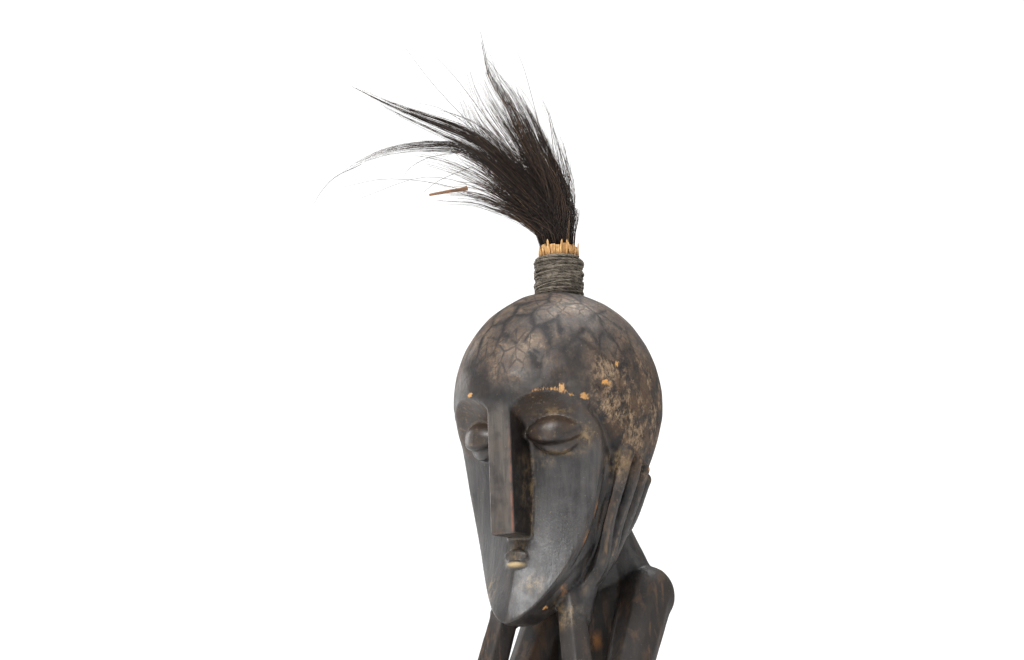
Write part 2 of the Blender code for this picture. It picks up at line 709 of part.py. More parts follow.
def turned(name, profile, collection, material, steps=24):
    """A ring turned from a closed profile of (radius, height) points round the tuft's axis."""
    bm = bmesh.new()
    verts = [bm.verts.new((radius, 0.0, height)) for radius, height in profile]
    for one, two in zip(verts, verts[1:] + verts[:1]):
        bm.edges.new((one, two))
    obj = add_mesh_object(name, mesh_from(bm, name), collection, material)
    obj.location = (0.0, TUFT_BACK, 0.0)
    screw = obj.modifiers.new("turn", "SCREW")
    screw.steps = screw.render_steps = steps
    screw.use_merge_vertices = True
    screw.merge_threshold = 1e-5
    screw.use_normal_calculate = True
    return obj


def make_cord_binding(collection, material):
    """The cord bound tight round the splints: a ring with one rib for each turn, listed top to bottom."""
    inner = TUFT_RADIUS + CLEARANCE
    low = CORD_SEAT + CLEARANCE
    top = low + CORD_HEIGHT
    profile = [(inner, top)]
    for turn in range(CORD_TURNS):
        height = top - CORD_DIAMETER * (turn + 0.5)
        for lift, reach in ((0.5, CORD_GROOVE), (0.0, 1.0)):
            profile.append((inner + CORD_DIAMETER * reach, height + CORD_DIAMETER * lift))
    profile.append((inner + CORD_DIAMETER * CORD_GROOVE, low))
    profile.append((inner, low))
    return turned("cord_binding", profile, collection, material)


def make_splint_ring(collection, material):
    """The ring of split wood round the hair, broken off unevenly above the cord."""
    low = CORD_SEAT - SOCKET_DEPTH + CLEARANCE
    rim = SPLINT_TOP - SPLINT_RISE * SPLINT_NOTCH
    bm = bmesh.new()
    sides = SPLINT_COUNT * 2
    bmesh.ops.create_cone(
        bm, cap_ends=True, segments=sides, radius1=TUFT_RADIUS, radius2=TUFT_RADIUS, depth=rim - low
    )
    bm.transform(Matrix.Translation((0.0, 0.0, (low + rim) / 2)))
    caps = [f for f in bm.faces if abs(f.normal.z) > 0.9]
    bmesh.ops.inset_region(bm, faces=caps, thickness=SPLINT_THICKNESS)
    inner = [f for f in bm.faces if abs(f.normal.z) > 0.9 and len(f.verts) > 4]
    bmesh.ops.bridge_loops(bm, edges=[e for f in inner for e in f.edges])
    bmesh.ops.delete(bm, geom=inner, context="FACES_ONLY")
    for vert in bm.verts:
        if vert.co.z > rim - 1e-5:
            tooth = round(math.atan2(vert.co.y, vert.co.x) / (2 * math.pi) * sides) % sides
            if tooth % 2 == 0:
                uneven = abs(math.sin(tooth * 2.3 + 0.7))
                vert.co.z += (SPLINT_TOP - rim) * (SPLINT_SHORTEST + (1 - SPLINT_SHORTEST) * uneven)
    bmesh.ops.recalc_face_normals(bm, faces=bm.faces)
    obj = add_mesh_object("splint_ring", mesh_from(bm, "splint_ring"), collection, material)
    obj.location = (0.0, TUFT_BACK, 0.0)
    return obj


def make_hair_tuft(collection, cutters, material):
    """The bundle of hair in the ring, opening into seven tapering locks that are joined at their roots."""
    low = CORD_SEAT - SOCKET_DEPTH + CLEARANCE
    high = SPLINT_TOP + HAIR_STUB
    bm = bmesh.new()
    bmesh.ops.create_cone(
        bm, cap_ends=True, segments=20, radius1=HAIR_RADIUS, radius2=HAIR_RADIUS, depth=high - low
    )
    bm.transform(Matrix.Translation((0.0, TUFT_BACK, (low + high) / 2)))
    tuft = add_mesh_object("hair_tuft", mesh_from(bm, "hair_tuft"), collection, material)
    for number, (name, (path, turn, radius)) in enumerate(LOCKS.items()):
        bearing = LEAN_BEARING + math.radians(turn)
        side = (number - (len(LOCKS) - 1) / 2) * LOCK_SPACING * LOCK_SCALE
        points, radii = [], []
        for step, (lean, rise) in enumerate(path):
            out = lean * LOCK_SCALE / math.cos(math.radians(turn))
            points.append((
                out * math.cos(bearing) - side * math.sin(bearing),
                TUFT_BACK + out * math.sin(bearing) + side * math.cos(bearing),
                SPLINT_TOP + rise * LOCK_SCALE,
            ))
            taper = step / (len(path) - 1)
            thickness = radius * (1 - taper) + LOCK_TIP_RADIUS * taper
            radii.append(thickness * LOCK_SCALE * (LOCK_ROOT_SHARE if step == 0 else 1.0))
        mesh = tube(name, points, radii, cutters, poly=True, sides=LOCK_SIDES)
        lock = add_mesh_object(f"lock_{name}", mesh, cutters)
        lock.hide_render = True
        lock.display_type = "WIRE"
        add_boolean(tuft, lock, "UNION")
    return tuft


def shade(obj):
    """Smooth shading with the sharper edges kept."""
    obj.data.shade_smooth()
    obj.data.set_sharp_from_angle(angle=math.radians(40.0))


def build():
    remove_all_objects()
    parts = new_collection("thinking_figure")
    cutters = new_collection("cutters")
    cutters.hide_render = True
    wood = make_material("stained_wood", (0.045, 0.035, 0.030), 0.42)
    cord = make_material("dark_cord", (0.085, 0.075, 0.062), 0.85)
    split = make_material("split_wood", (0.55, 0.34, 0.15), 0.70)
    hair = make_material("horse_hair", (0.020, 0.014, 0.012), 0.45)
    pieces = [
        make_figure(parts, cutters, wood),
        make_cord_binding(parts, cord),
        make_splint_ring(parts, split),
        make_hair_tuft(parts, cutters, hair),
    ]
    for piece in pieces:
        shade(piece)


build()
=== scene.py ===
import math

import bmesh
import bpy
import numpy as np
from mathutils import Matrix, Vector, kdtree


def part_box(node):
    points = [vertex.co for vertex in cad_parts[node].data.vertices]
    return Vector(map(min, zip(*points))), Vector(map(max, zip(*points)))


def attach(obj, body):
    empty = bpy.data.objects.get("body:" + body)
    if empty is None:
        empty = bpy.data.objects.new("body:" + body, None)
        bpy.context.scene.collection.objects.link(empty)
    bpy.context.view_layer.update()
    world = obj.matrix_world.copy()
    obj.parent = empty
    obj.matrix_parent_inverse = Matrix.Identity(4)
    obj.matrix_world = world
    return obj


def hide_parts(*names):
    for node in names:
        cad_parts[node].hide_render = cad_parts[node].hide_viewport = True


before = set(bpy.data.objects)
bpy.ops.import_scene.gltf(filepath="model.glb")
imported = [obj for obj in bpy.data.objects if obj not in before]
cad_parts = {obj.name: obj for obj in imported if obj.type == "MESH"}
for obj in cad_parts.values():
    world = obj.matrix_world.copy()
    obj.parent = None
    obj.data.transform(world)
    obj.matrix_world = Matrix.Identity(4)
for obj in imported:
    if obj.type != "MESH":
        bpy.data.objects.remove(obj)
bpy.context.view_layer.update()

# The carving is drawn in millimetres above the top of its base, on a figure 570 mm tall
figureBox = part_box("carved_figure")
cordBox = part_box("cord_binding")
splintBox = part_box("splint_ring")
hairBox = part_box("hair_tuft")
baseHeight = 0.030
drawnHeight = 567.9
mm = (figureBox[1][2] - baseHeight) / drawnHeight
tuftBack = (cordBox[0][1] + cordBox[1][1]) / 2  # the tuft's axis lies a little behind the middle
splintTop = splintBox[1][2]

cameraPlan = {
    "turn": 34.5,  # degrees from straight ahead, towards the figure's left
    "distance": 1.5,
    "eyeHeight": 0.27,
    "aimHeight": 0.574,
    "aimSide": 0.0308,  # the figure stands this far right of the middle of the picture
    "pictureWidth": 0.7168,  # what the picture takes in across, at the figure
    "sensor": 36.0,
}


def addCamera():
    turn = math.radians(cameraPlan["turn"])
    right = Vector((math.cos(turn), math.sin(turn), 0.0))
    forward = Vector((-math.sin(turn), math.cos(turn), 0.0))
    aim = right * -cameraPlan["aimSide"] + Vector((0.0, 0.0, cameraPlan["aimHeight"]))
    eye = aim - forward * cameraPlan["distance"]
    eye.z = cameraPlan["eyeHeight"]
    data = bpy.data.cameras.new("studioCamera")
    data.sensor_width = cameraPlan["sensor"]
    data.lens = cameraPlan["sensor"] * (aim - eye).length / cameraPlan["pictureWidth"]
    camera = bpy.data.objects.new("studioCamera", data)
    camera.location = eye
    camera.rotation_euler = (aim - eye).to_track_quat("-Z", "Y").to_euler()
    bpy.context.scene.collection.objects.link(camera)
    bpy.context.scene.camera = camera


addCamera()
print("camera placed")


# Small helpers for forms. A form is a pair: points, faces

def smoothstep(low, high, value):
    t = np.clip((value - low) / (high - low), 0.0, 1.0)
    return t * t * (3 - 2 * t)


def curveThrough(stations):
    places = np.array([s[0] for s in stations], float)
    values = np.array([s[1] for s in stations], float)
    slopes = np.gradient(values, places)

    def valueAt(where):
        where = np.clip(where, places[0], places[-1])
        i = np.clip(np.searchsorted(places, where) - 1, 0, len(places) - 2)
        span = places[i + 1] - places[i]
        t = (where - places[i]) / span
        rise = values[i] + (values[i + 1] - values[i]) * t * t * (3 - 2 * t)
        return rise + slopes[i] * span * t * (1 - t) ** 2 - slopes[i + 1] * span * t * t * (1 - t)

    return valueAt


def smoothRows(rows, steps):
    # a smooth curve through the rows, each a point and its radius
    rows = np.asarray(rows, float)
    padded = np.vstack([2 * rows[0] - rows[1], rows, 2 * rows[-1] - rows[-2]])
    t = np.linspace(0.0, 1.0, steps, endpoint=False)[:, None]
    pieces = []
    for i in range(len(rows) - 1):
        a, b, c, d = padded[i : i + 4]
        bend = (2 * a - 5 * b + 4 * c - d) * t**2 + (3 * b - a - 3 * c + d) * t**3
        pieces.append(0.5 * (2 * b + (c - a) * t + bend))
    return np.vstack([*pieces, rows[-1:]])


def unit(vectors):
    return vectors / np.maximum(np.linalg.norm(vectors, axis=-1, keepdims=True), 1e-12)


def sweptTubes(paths, radii, sides, flatness=1.0, facing=None):
    # many closed tubes at once: paths is (tubes, rings, 3), radii is (tubes, rings)
    count, rings = radii.shape
    along = unit(np.gradient(paths, axis=1))
    if facing is None:
        facing = np.where(np.abs(along[:, 0, 2:3]) > 0.8, [[1.0, 0.0, 0.0]], [[0.0, 0.0, 1.0]])
    across = np.empty_like(paths)
    last = np.broadcast_to(facing, (count, 3))
    for ring in range(rings):
        t = along[:, ring]
        last = unit(last - t * np.sum(last * t, axis=1, keepdims=True))
        across[:, ring] = last
    other = np.cross(along, across)
    angles = np.arange(sides) * 2 * math.pi / sides
    points = (
        paths[:, :, None]
        + across[:, :, None] * (radii[:, :, None] * np.cos(angles) * flatness)[..., None]
        + other[:, :, None] * (radii[:, :, None] * np.sin(angles))[..., None]
    ).reshape(-1, 3)
    ringStart = (np.arange(count)[:, None] * rings + np.arange(rings - 1)[None]).reshape(-1, 1) * sides
    here = np.arange(sides)
    there = (here + 1) % sides
    quads = np.stack(
        [ringStart + here, ringStart + there, ringStart + sides + there, ringStart + sides + here], axis=-1
    ).reshape(-1, 4)
    faces = quads.tolist()
    for tube in range(count):
        start = tube * rings * sides
        end = start + (rings - 1) * sides
        faces.append([start + s for s in reversed(range(sides))])
        faces.append([end + s for s in range(sides)])
    return points, faces


def limb(points, radii, squash=(1.0, 1.0, 1.0), steps=14, sides=40):
    rows = smoothRows(np.column_stack([points, radii]), steps)
    centre = np.asarray(points[0], float)
    squash = np.asarray(squash)
    path = (rows[:, :3] - centre) / squash
    tube, faces = sweptTubes(path[None], np.maximum(rows[None, :, 3], 0.2), sides)
    return tube * squash + centre, faces


def formOf(bm):
    # a bmesh as a form, after which the bmesh is done with
    bm.verts.index_update()
    points = np.array([v.co[:] for v in bm.verts])
    faces = [[v.index for v in f.verts] for f in bm.faces]
    bm.free()
    return points, faces


def roundForm(across=64, down=40):
    # a unit sphere, its poles at top and bottom
    bm = bmesh.new()
    bmesh.ops.create_uvsphere(bm, u_segments=across, v_segments=down, radius=1.0)
    return formOf(bm)


def turned(points, turn, tilt, centre):
    spin = np.array(Matrix.Rotation(turn, 3, "Z") @ Matrix.Rotation(tilt, 3, "Y"))
    return points @ spin.T + np.asarray(centre)


def unitCircle(count):
    turn = np.arange(count) * 2 * math.pi / count
    return np.column_stack([np.cos(turn), np.sin(turn)])


unitBall = roundForm()


def ball(centre, radii, turn=0.0, tilt=0.0, point=1.0):
    # point above 1 draws the two ends out like an almond
    points, faces = unitBall
    x, y, z = points.T
    pinch = np.maximum(1 - x * x, 0.0) ** ((point - 1) / 2)
    shaped = np.column_stack([x * radii[0], y * pinch * radii[1], z * pinch * radii[2]])
    return turned(shaped, turn, tilt, centre), faces


def mirroredForm(form):
    points, faces = form
    return points * [-1.0, 1.0, 1.0], [f[::-1] for f in faces]


def meshOf(forms, name):
    points, faces, start = [], [], 0
    for shape, polygons in forms:
        points.append(shape)
        faces.extend([[i + start for i in f] for f in polygons])
        start += len(shape)
    mesh = bpy.data.meshes.new(name)
    mesh.from_pydata(np.vstack(points).tolist(), [], faces)
    mesh.update()
    return mesh


def addObject(name, mesh):
    obj = bpy.data.objects.new(name, mesh)
    bpy.context.scene.collection.objects.link(obj)
    return obj


def applied(obj):
    # the object's mesh with its modifiers made real
    bpy.context.view_layer.update()
    graph = bpy.context.evaluated_depsgraph_get()
    mesh = bpy.data.meshes.new_from_object(obj.evaluated_get(graph))
    old = obj.data
    obj.modifiers.clear()
    obj.data = mesh
    bpy.data.meshes.remove(old)
    return mesh


def valuesOf(items, name, width, kind=np.float32):
    # one value of each of a mesh's items, as rows
    values = np.empty(len(items) * width, kind)
    items.foreach_get(name, values)
    return values.reshape(-1, width)


def pointsOf(mesh):
    return valuesOf(mesh.vertices, "co", 3).astype(float)


def normalsOf(mesh):
    return valuesOf(mesh.vertex_normals, "vector", 3).astype(float)


def edgesOf(mesh):
    return valuesOf(mesh.edges, "vertices", 2, np.int32)


def setPoints(mesh, points):
    mesh.vertices.foreach_set("co", np.ascontiguousarray(points, np.float32).ravel())
    mesh.update()


def averaged(values, edges, count):
    # the mean of each point's neighbours
    one, two = edges.T
    near = np.bincount(one, minlength=count) + np.bincount(two, minlength=count)
    near = np.maximum(near, 1)
    columns = values.reshape(count, -1)
    sums = np.empty_like(columns)
    for c in range(columns.shape[1]):
        sums[:, c] = np.bincount(one, columns[two, c], count) + np.bincount(two, columns[one, c], count)
    return (sums / near[:, None]).reshape(values.shape)


def softened(values, edges, steps, share=0.5):
    for _ in range(steps):
        values = values + (averaged(values, edges, len(values)) - values) * share
    return values


def addAttribute(mesh, name, values):
    attribute = mesh.attributes.new(name, "FLOAT", "POINT")
    attribute.data.foreach_set("value", np.ascontiguousarray(values, np.float32))


def sampled(rows, places, at):
    # rows read off at other places along their length
    return np.column_stack([np.interp(at, places, column) for column in rows.T])


def prism(outline, low, high, taper=1.0):
    # an upright block on an outline of (x, y) points, narrowing upwards about its middle
    outline = np.asarray(outline)
    centre = outline.mean(axis=0)
    top = centre + (outline - centre) * taper
    count = len(outline)
    points = np.vstack([
        np.column_stack([outline, np.full(count, low)]), np.column_stack([top, np.full(count, high)])
    ])
    faces = [[i, (i + 1) % count, count + (i + 1) % count, count + i] for i in range(count)]
    faces += [list(range(count))[::-1], list(range(count, 2 * count))]
    return points, faces


def cutAway(obj, form):
    # takes a closed form out of the object
    cutter = addObject("cutter", meshOf([form], "cutter"))
    bm = bmesh.new()
    bm.from_mesh(cutter.data)
    bmesh.ops.recalc_face_normals(bm, faces=bm.faces)
    bm.to_mesh(cutter.data)
    bm.free()
    cut = obj.modifiers.new("cut", "BOOLEAN")
    cut.operation = "DIFFERENCE"
    cut.solver = "EXACT"
    cut.object = cutter
    mesh = applied(obj)
    bpy.data.objects.remove(cutter, do_unlink=True)
    return mesh


def inDrawing(points):
    # across, back and level above the chin, in the drawing's millimetres
    x, y, z = (points - [0.0, 0.0, baseHeight]).T / mm
    return x, y, z - headPlan["chin"]


# Head. Levels are above the chin, forward is towards the viewer

headPlan = {
    "chin": 336.0,
    "height": 234.0,
    "widest": 155.0,
    "corner": 2.12,  # 2 is an oval section, more is squarer
    "jawSquareness": 0.4,
    "jawTop": 100.0,
    "stations": (  # level, half width, front, back
        (0, 7, 57, -34), (6, 15, 58, -24), (16, 24, 56, -10), (31, 33, 52, 7),
        (49, 39.5, 48, 26), (72, 45.5, 48, 45), (105, 58, 57, 62.5),
        (130, 66, 67.5, 73), (155, 69.5, 72.5, 78), (180, 66, 67.5, 73),
    ),
    "centring": 2.0,
    "segments": (200, 144),
}

facePlan = {
    "halfWidth": 57.5,
    "widest": 127.0,
    "taper": 1.5,
    "fullness": 0.58,
    "archCentre": 35.0,
    "archHeight": 26.0,
    "bridge": 141.0,
    "centre": 85.0,
    "browStart": 116.0,
    "browSoftness": 16.0,
    "browEdge": 6.5,
    "browProud": 0.8,
    "bow": (1.1, 0.5),
    "rim": 5.0,
    "plateDepth": 70.0,
    "chinThickness": 14.0,
    "chinTop": 30.0,
    "cutterFront": 130.0,
    "stations": (  # level, how far forward at the middle, then at the edge
        (0, 61.5, 61), (6, 60.5, 58), (14, 58.4, 52.4), (31, 53.2, 42.7), (49, 49, 35.2),
        (72, 45, 30.6), (95, 43.5, 30), (111, 45.5, 30.4), (127, 49, 33), (152, 53.5, 38),
    ),
    "segments": (240, 120),
    "groovePlace": 1.024,  # a cut line just outside the outline, as a share of the way out
    "grooveWidth": 0.022,
    "grooveDepth": 2.1,
}

nosePlan = {
    "halfWidth": 9.4,
    "narrowing": 0.6,
    "back": 30.0,
    "bottom": 58.8,
    "top": 156.0,
    "edge": 0.9,
    "tipFront": 66.5,
    "bridgeFront": 72.5,
    "rubbedEdge": (9.1, 0.75),  # how far out its worn front edges lie, and their width
    "farEdgeWear": 0.35,
}

eyePlan = {
    "place": (28.5, 43.0, 128.0),  # across, forward, level of the line between the corners
    "turn": 23.0,
    "tilt": -4.5,
    "upperLid": (21.5, 14.0, 11.6, 9.4),  # half length, bulge, rise above the corners, drop below them
    "lowerLid": (17.5, 7.4, 4.0, 11.3),
    "lowerShift": (0.6, 1.0, -3.8),
    "points": (1.6, 1.5),
    "segments": (96, 72),
    "slit": {"drop": 8.6, "halfLength": 17.5, "rise": 8.2, "lean": 0.07, "width": 1.5},
    "underside": 4.5,  # how squarely the upper lid turns under to the slit
}

mouthPlan = {
    "level": 42.0,
    "upperLip": (9.6, 1.9, 4.2),
    "lowerLip": (8.0, 3.6, 2.4),
    "upperSink": 0.6,
    "lowerDrop": 1.5,
    "point": 1.6,
}


def headSection(level):
    level = np.minimum(level, headPlan["widest"])
    width, front, back = (
        curveThrough([(s[0], s[i]) for s in headPlan["stations"]])(level) for i in (1, 2, 3)
    )
    corner = headPlan["corner"] + headPlan["jawSquareness"] * np.maximum(1 - level / headPlan["jawTop"], 0.0)
    return width, (front + back) / 2, (back - front) / 2, corner


def headFront(across, level):
    # how far forward the uncut head lies
    width, depth, middle, corner = headSection(level)
    lean = np.clip(np.abs(across) / width, 0.0, 0.999)
    return depth * (1 - lean**corner) ** (1 / corner) - middle


def headForm():
    points, faces = roundForm(*headPlan["segments"])
    x, y, z = points.T
    ring = np.maximum(np.hypot(x, y), 1e-6)
    above = z >= 0.0
    widest, rise = headPlan["widest"], headPlan["height"] - headPlan["widest"]
    level = np.where(above, widest + z * rise, widest * (1 + z))
    shrink = np.where(above, ring, 1.0)
    width, depth, middle, corner = headSection(level)
    across, back = x / ring, y / ring
    push = (np.abs(across) ** corner + np.abs(back) ** corner) ** (-1.0 / corner)
    push = np.where(ring < 1e-5, 1.0, push) * shrink
    middle = middle * np.minimum(shrink * headPlan["centring"], 1.0)
    shaped = np.column_stack([
        across * width * push, middle + back * depth * push, headPlan["chin"] + level
    ])
    return shaped, faces


def faceHalfWidth(level):
    below = np.clip(1 - level / facePlan["widest"], 0.0, 1.0)
    return facePlan["halfWidth"] * np.maximum(1 - below ** facePlan["taper"], 0.0) ** facePlan["fullness"]


def faceOutline(steps=90):
    # bearings and radii of the face's edge round its centre, for the left half
    levels = facePlan["widest"] * (np.arange(steps) / steps) ** facePlan["taper"]
    sides = np.column_stack([faceHalfWidth(levels), levels])
    centre, high = facePlan["archCentre"], facePlan["archHeight"]
    turn = np.linspace(0.0, math.pi / 2, steps // 2)
    outer = np.column_stack([
        centre + (facePlan["halfWidth"] - centre) * np.cos(turn), facePlan["widest"] + high * np.sin(turn)
    ])
    turn = np.linspace(0.1, math.pi / 2, steps // 2)
    drop = facePlan["widest"] + high - facePlan["bridge"]
    inner = np.column_stack([
        centre - (centre - nosePlan["halfWidth"]) * np.sin(turn), facePlan["bridge"] + drop * np.cos(turn)
    ])
    across, up = np.vstack([sides, outer, inner, [(0.0, facePlan["bridge"])]]).T
    up = up - facePlan["centre"]
    bearings = np.arctan2(up, across)
    order = np.argsort(bearings)
    return bearings[order], np.hypot(across, up)[order]


def faceFront(across, level, share):
    # how far forward the carved face lies; share is 1 at its outline
    middle = curveThrough([(s[0], s[1]) for s in facePlan["stations"]])(level)
    edge = curveThrough([(s[0], s[2]) for s in facePlan["stations"]])(level)
    width = np.maximum(faceHalfWidth(np.minimum(level, facePlan["widest"])), 1.0)
    side = np.clip(np.abs(across) / width, 0.0, 1.2)
    bow = facePlan["bow"][0] + facePlan["bow"][1] * np.clip(level / headPlan["widest"], 0.0, 1.0)
    plain = middle + (edge - middle) * side**bow
    underBrow = np.clip((level - facePlan["browStart"]) / facePlan["browSoftness"], 0.0, 1.0)
    rise = np.clip(headFront(across, level) - plain + facePlan["browProud"], 0.0, None)
    return plain + rise * underBrow * share ** facePlan["browEdge"]


def faceForm(near, far):
    # a solid on the face's outline between two surfaces
    bearings, radii = faceOutline()
    points, faces = roundForm(*facePlan["segments"])
    x, y, z = points.T
    share = np.minimum(np.hypot(x, y), 1.0)
    bearing = np.arctan2(y, np.abs(x))
    reach = share * np.interp(bearing, bearings, radii)
    across = np.copysign(reach * np.cos(bearing), x)
    level = facePlan["centre"] + reach * np.sin(bearing)
    front, back = near(across, level, share), far(across, level, share)
    forward = np.where(np.abs(z) < 1e-5, (front + back) / 2, np.where(z > 0, front, back))
    return np.column_stack([across, -forward, headPlan["chin"] + level]), faces


def plateForm():
    def plateBack(across, level, share):
        chin = facePlan["chinThickness"] * np.maximum(1 - level / facePlan["chinTop"], 0.0)
        return faceFront(across, level, 0.0) - facePlan["rim"] - chin - facePlan["plateDepth"] * (1 - share)

    return faceForm(lambda across, level, share: faceFront(across, level, 0.0) - 0.05, plateBack)


def cutterForm():
    return faceForm(lambda across, level, share: np.full_like(level, facePlan["cutterFront"]), faceFront)


def noseForm():
    bm = bmesh.new()
    bmesh.ops.create_cube(bm, size=2.0)
    edges = [e for e in bm.edges if all(v.co.y < 0 for v in e.verts)]
    for vert in bm.verts:
        top = vert.co.z > 0
        front = nosePlan["bridgeFront"] if top else nosePlan["tipFront"]
        vert.co = (
            vert.co.x * (nosePlan["halfWidth"] - (nosePlan["narrowing"] if top else 0.0)),
            -front if vert.co.y < 0 else -nosePlan["back"],
            headPlan["chin"] + (nosePlan["top"] if top else nosePlan["bottom"]),
        )
    bmesh.ops.bevel(bm, geom=edges, offset=nosePlan["edge"], segments=2, profile=0.5, affect="EDGES")
    return formOf(bm)


def lid(centre, size, point):
    # an almond with its own height above and below the line between its corners
    points, faces = roundForm(*eyePlan["segments"])
    length, bulge, rise, drop = size
    x, y, z = points.T
    pinch = np.maximum(1 - x * x, 0.0) ** ((point - 1) / 2)
    high = np.where(z > 0, rise, drop)
    half = np.sqrt(np.maximum(1 - x * x, 1e-9))
    square = eyePlan["underside"]
    full = half * (1 - np.clip(np.abs(z) / half, 0.0, 1.0) ** square) ** (1 / square)
    y = np.where(z < 0, np.copysign(full, y), y)
    shaped = np.column_stack([x * length, y * pinch * bulge, z * pinch * high])
    return turned(shaped, math.radians(eyePlan["turn"]), math.radians(eyePlan["tilt"]), centre), faces


def eyeForms():
    across, forward, level = eyePlan["place"]
    centre = np.array([across, -forward, headPlan["chin"] + level])
    return [
        lid(centre, eyePlan["upperLid"], eyePlan["points"][0]),
        lid(centre + eyePlan["lowerShift"], eyePlan["lowerLid"], eyePlan["points"][1]),
    ]


def mouthForms():
    front = float(faceFront(0.0, mouthPlan["level"], 0.0))
    level = headPlan["chin"] + mouthPlan["level"]
    return [
        ball((0.0, mouthPlan["upperSink"] - front, level + mouthPlan["upperLip"][2]), mouthPlan["upperLip"]),
        ball((0.0, -front, level - mouthPlan["lowerDrop"]), mouthPlan["lowerLip"], point=mouthPlan["point"]),
    ]


def carvedHead():
    core = addObject("headBlank", meshOf([headForm()], "headBlank"))
    mesh = cutAway(core, cutterForm())
    points = pointsOf(mesh)
    faces = [list(p.vertices) for p in mesh.polygons]
    bpy.data.objects.remove(core, do_unlink=True)
    eyes = eyeForms()
    return [(points, faces), plateForm(), noseForm(), *mouthForms(), *eyes, *map(mirroredForm, eyes)]


# Body, in the same millimetres, drawn for the left side

bodyPlan = {
    "shoulder": (37.0, 56.0, 361.0),
    "elbow": (59.0, -44.0, 193.0),
    "wrist": (28.0, -24.0, 341.0),
    "hip": (27.0, 52.0, 82.0),
    "knee": (57.0, -43.0, 169.0),
    "ankle": (37.0, -44.0, 22.0),
    "toes": (41.0, -92.0, 6.0),
    "neckTop": (0.0, 20.0, 452.0),
    "neckRoot": (0.0, 57.0, 372.0),
    "upperArm": (19.5, 16.0, 14.5),
    "forearm": (14.0, 12.4, 10.6, 9.0),
    "shoulderBall": (20.0, 20.0, 20.5),
    "elbowBall": (15.0, 15.5, 15.0),
    "flats": 9,
    "thigh": (26.0, 24.0, 18.5),
    "hipBall": (28.0, 28.0, 26.0),
    "kneeBall": (19.0, 20.0, 19.5),
    "shin": (18.0, 17.0, 12.0, 11.2, 11.6),
    "heel": 12.0,
    "heelBack": 13.0,
    "heelLevel": 9.0,
    "foot": (11.0, 13.5, 15.0),
    "footFlatness": 0.72,
    "toeDepth": 11.0,
    "neck": (23.0, 27.0, 29.0, 20.0),
    "yoke": (18.0, 20.0, 21.0, 20.0, 18.0),
    "yokeArch": 5.0,
    "trapezius": ((4.0, 34.0, 436.0, 15.0), (17.0, 49.0, 394.0, 16.0), (33.0, 57.0, 366.0, 13.0)),
    "ribCage": ((0.0, 59.0, 322.0), (34.0, 27.0, 54.0)),
    "shoulderBlade": ((18.0, 75.0, 336.0), (15.0, 9.0, 29.0)),
    "bladeTilt": -12.0,
    "trunkFlatness": 1.25,
    "trunk": (
        (0, 50, 384, 20), (0, 57, 360, 28), (0, 60, 325, 27), (0, 63, 270, 24.5),
        (0, 63, 205, 22.5), (0, 60, 150, 25), (0, 54, 100, 31), (0, 52, 62, 28),
    ),
}

handPlan = {
    "levels": (20.0, 41.0, 70.0, 96.0),
    "front": (-17.0, -11.0, -11.5, -10.0),
    "back": (2.0, 16.0, 26.5, 31.5),
    "tips": (115.0, 111.0, 107.0, 102.0),
    "radii": (6.4, 5.4, 5.0, 4.8),
    "lift": 4.3,
    "sink": 0.55,
    "swell": 1.10,
    "thinning": 0.22,
    "end": 1.2,
    "palmShift": (1.0, -2.0, 2.0),
    "palmSpread": 6.0,
    "palmRadius": 9.0,
    "palm": ((28.0, -22.0, 341.0, 11.0), (29.0, -15.0, 356.0, 9.5), (33.0, -6.0, 378.0, 7.0)),
    "flats": 6,
    "crests": (0.32, 0.38, 0.95, 0.60),  # how strongly each finger's crest is painted pale, as wear and painted highlight
    "crestFacing": (0.95, 0.99),  # how squarely the pale part, worn and painted highlight, faces outwards
    "crestDepth": 2.6,
    "crestLevels": (14.0, 32.0, 125.0),  # where it starts, is full and ends above the chin
    "crestInner": 22.0,
    "crestMiddle": (0.0, 14.0, 0.0),  # it faces away from here
}

basePlan = {
    "stoolRadius": 46.0,
    "stoolTaper": 0.92,
    "stoolTop": 70.0,
    "halfWidth": 84.5,
    "front": 112.0,
    "back": 107.0,
    "corner": 2.9,
    "taper": 0.96,
    "sides": 144,
    "spare": 0.3,  # made too deep by this share, then cut off flat
}


def between(start, end, share, shift=(0.0, 0.0, 0.0)):
    return tuple(s + (e - s) * share + d for s, e, d in zip(start, end, shift))


def onHead(level, back, lift):
    # a point on the side of the head, lifted off the surface
    width, depth, middle, corner = (float(value) for value in headSection(level))
    lean = min(abs(back - middle) / depth, 0.97)
    return (width * (1 - lean**corner) ** (1 / corner) + lift, back, headPlan["chin"] + level)


def fingerRows():
    # each finger's points from the palm to its tip, with its radii
    front = curveThrough(list(zip(handPlan["levels"], handPlan["front"])))
    back = curveThrough(list(zip(handPlan["levels"], handPlan["back"])))
    first = handPlan["levels"][0]
    fingers = []
    for number, (tip, radius) in enumerate(zip(handPlan["tips"], handPlan["radii"])):
        share = number / (len(handPlan["tips"]) - 1)
        root = [w + shift for w, shift in zip(bodyPlan["wrist"], handPlan["palmShift"])]
        root[1] += handPlan["palmSpread"] * share
        points, radii = [root], [handPlan["palmRadius"]]
        for level in (*handPlan["levels"], tip):
            reach = float(front(level)) * (1 - share) + float(back(level)) * share
            rise = min(max((level - first) / (tip - first), 0.0), 1.0)
            points.append(onHead(level, reach, handPlan["lift"] * (1 - handPlan["sink"] * rise)))
            radii.append(radius * (handPlan["swell"] - handPlan["thinning"] * rise))
        fingers.append((points, radii))
    return fingers


def fingerForms():
    forms = []
    for points, radii in fingerRows():
        forms.append(limb(points, radii, sides=handPlan["flats"]))
        end = radii[-1]
        forms.append(ball(points[-1], (end, end, end * handPlan["end"])))
    return forms


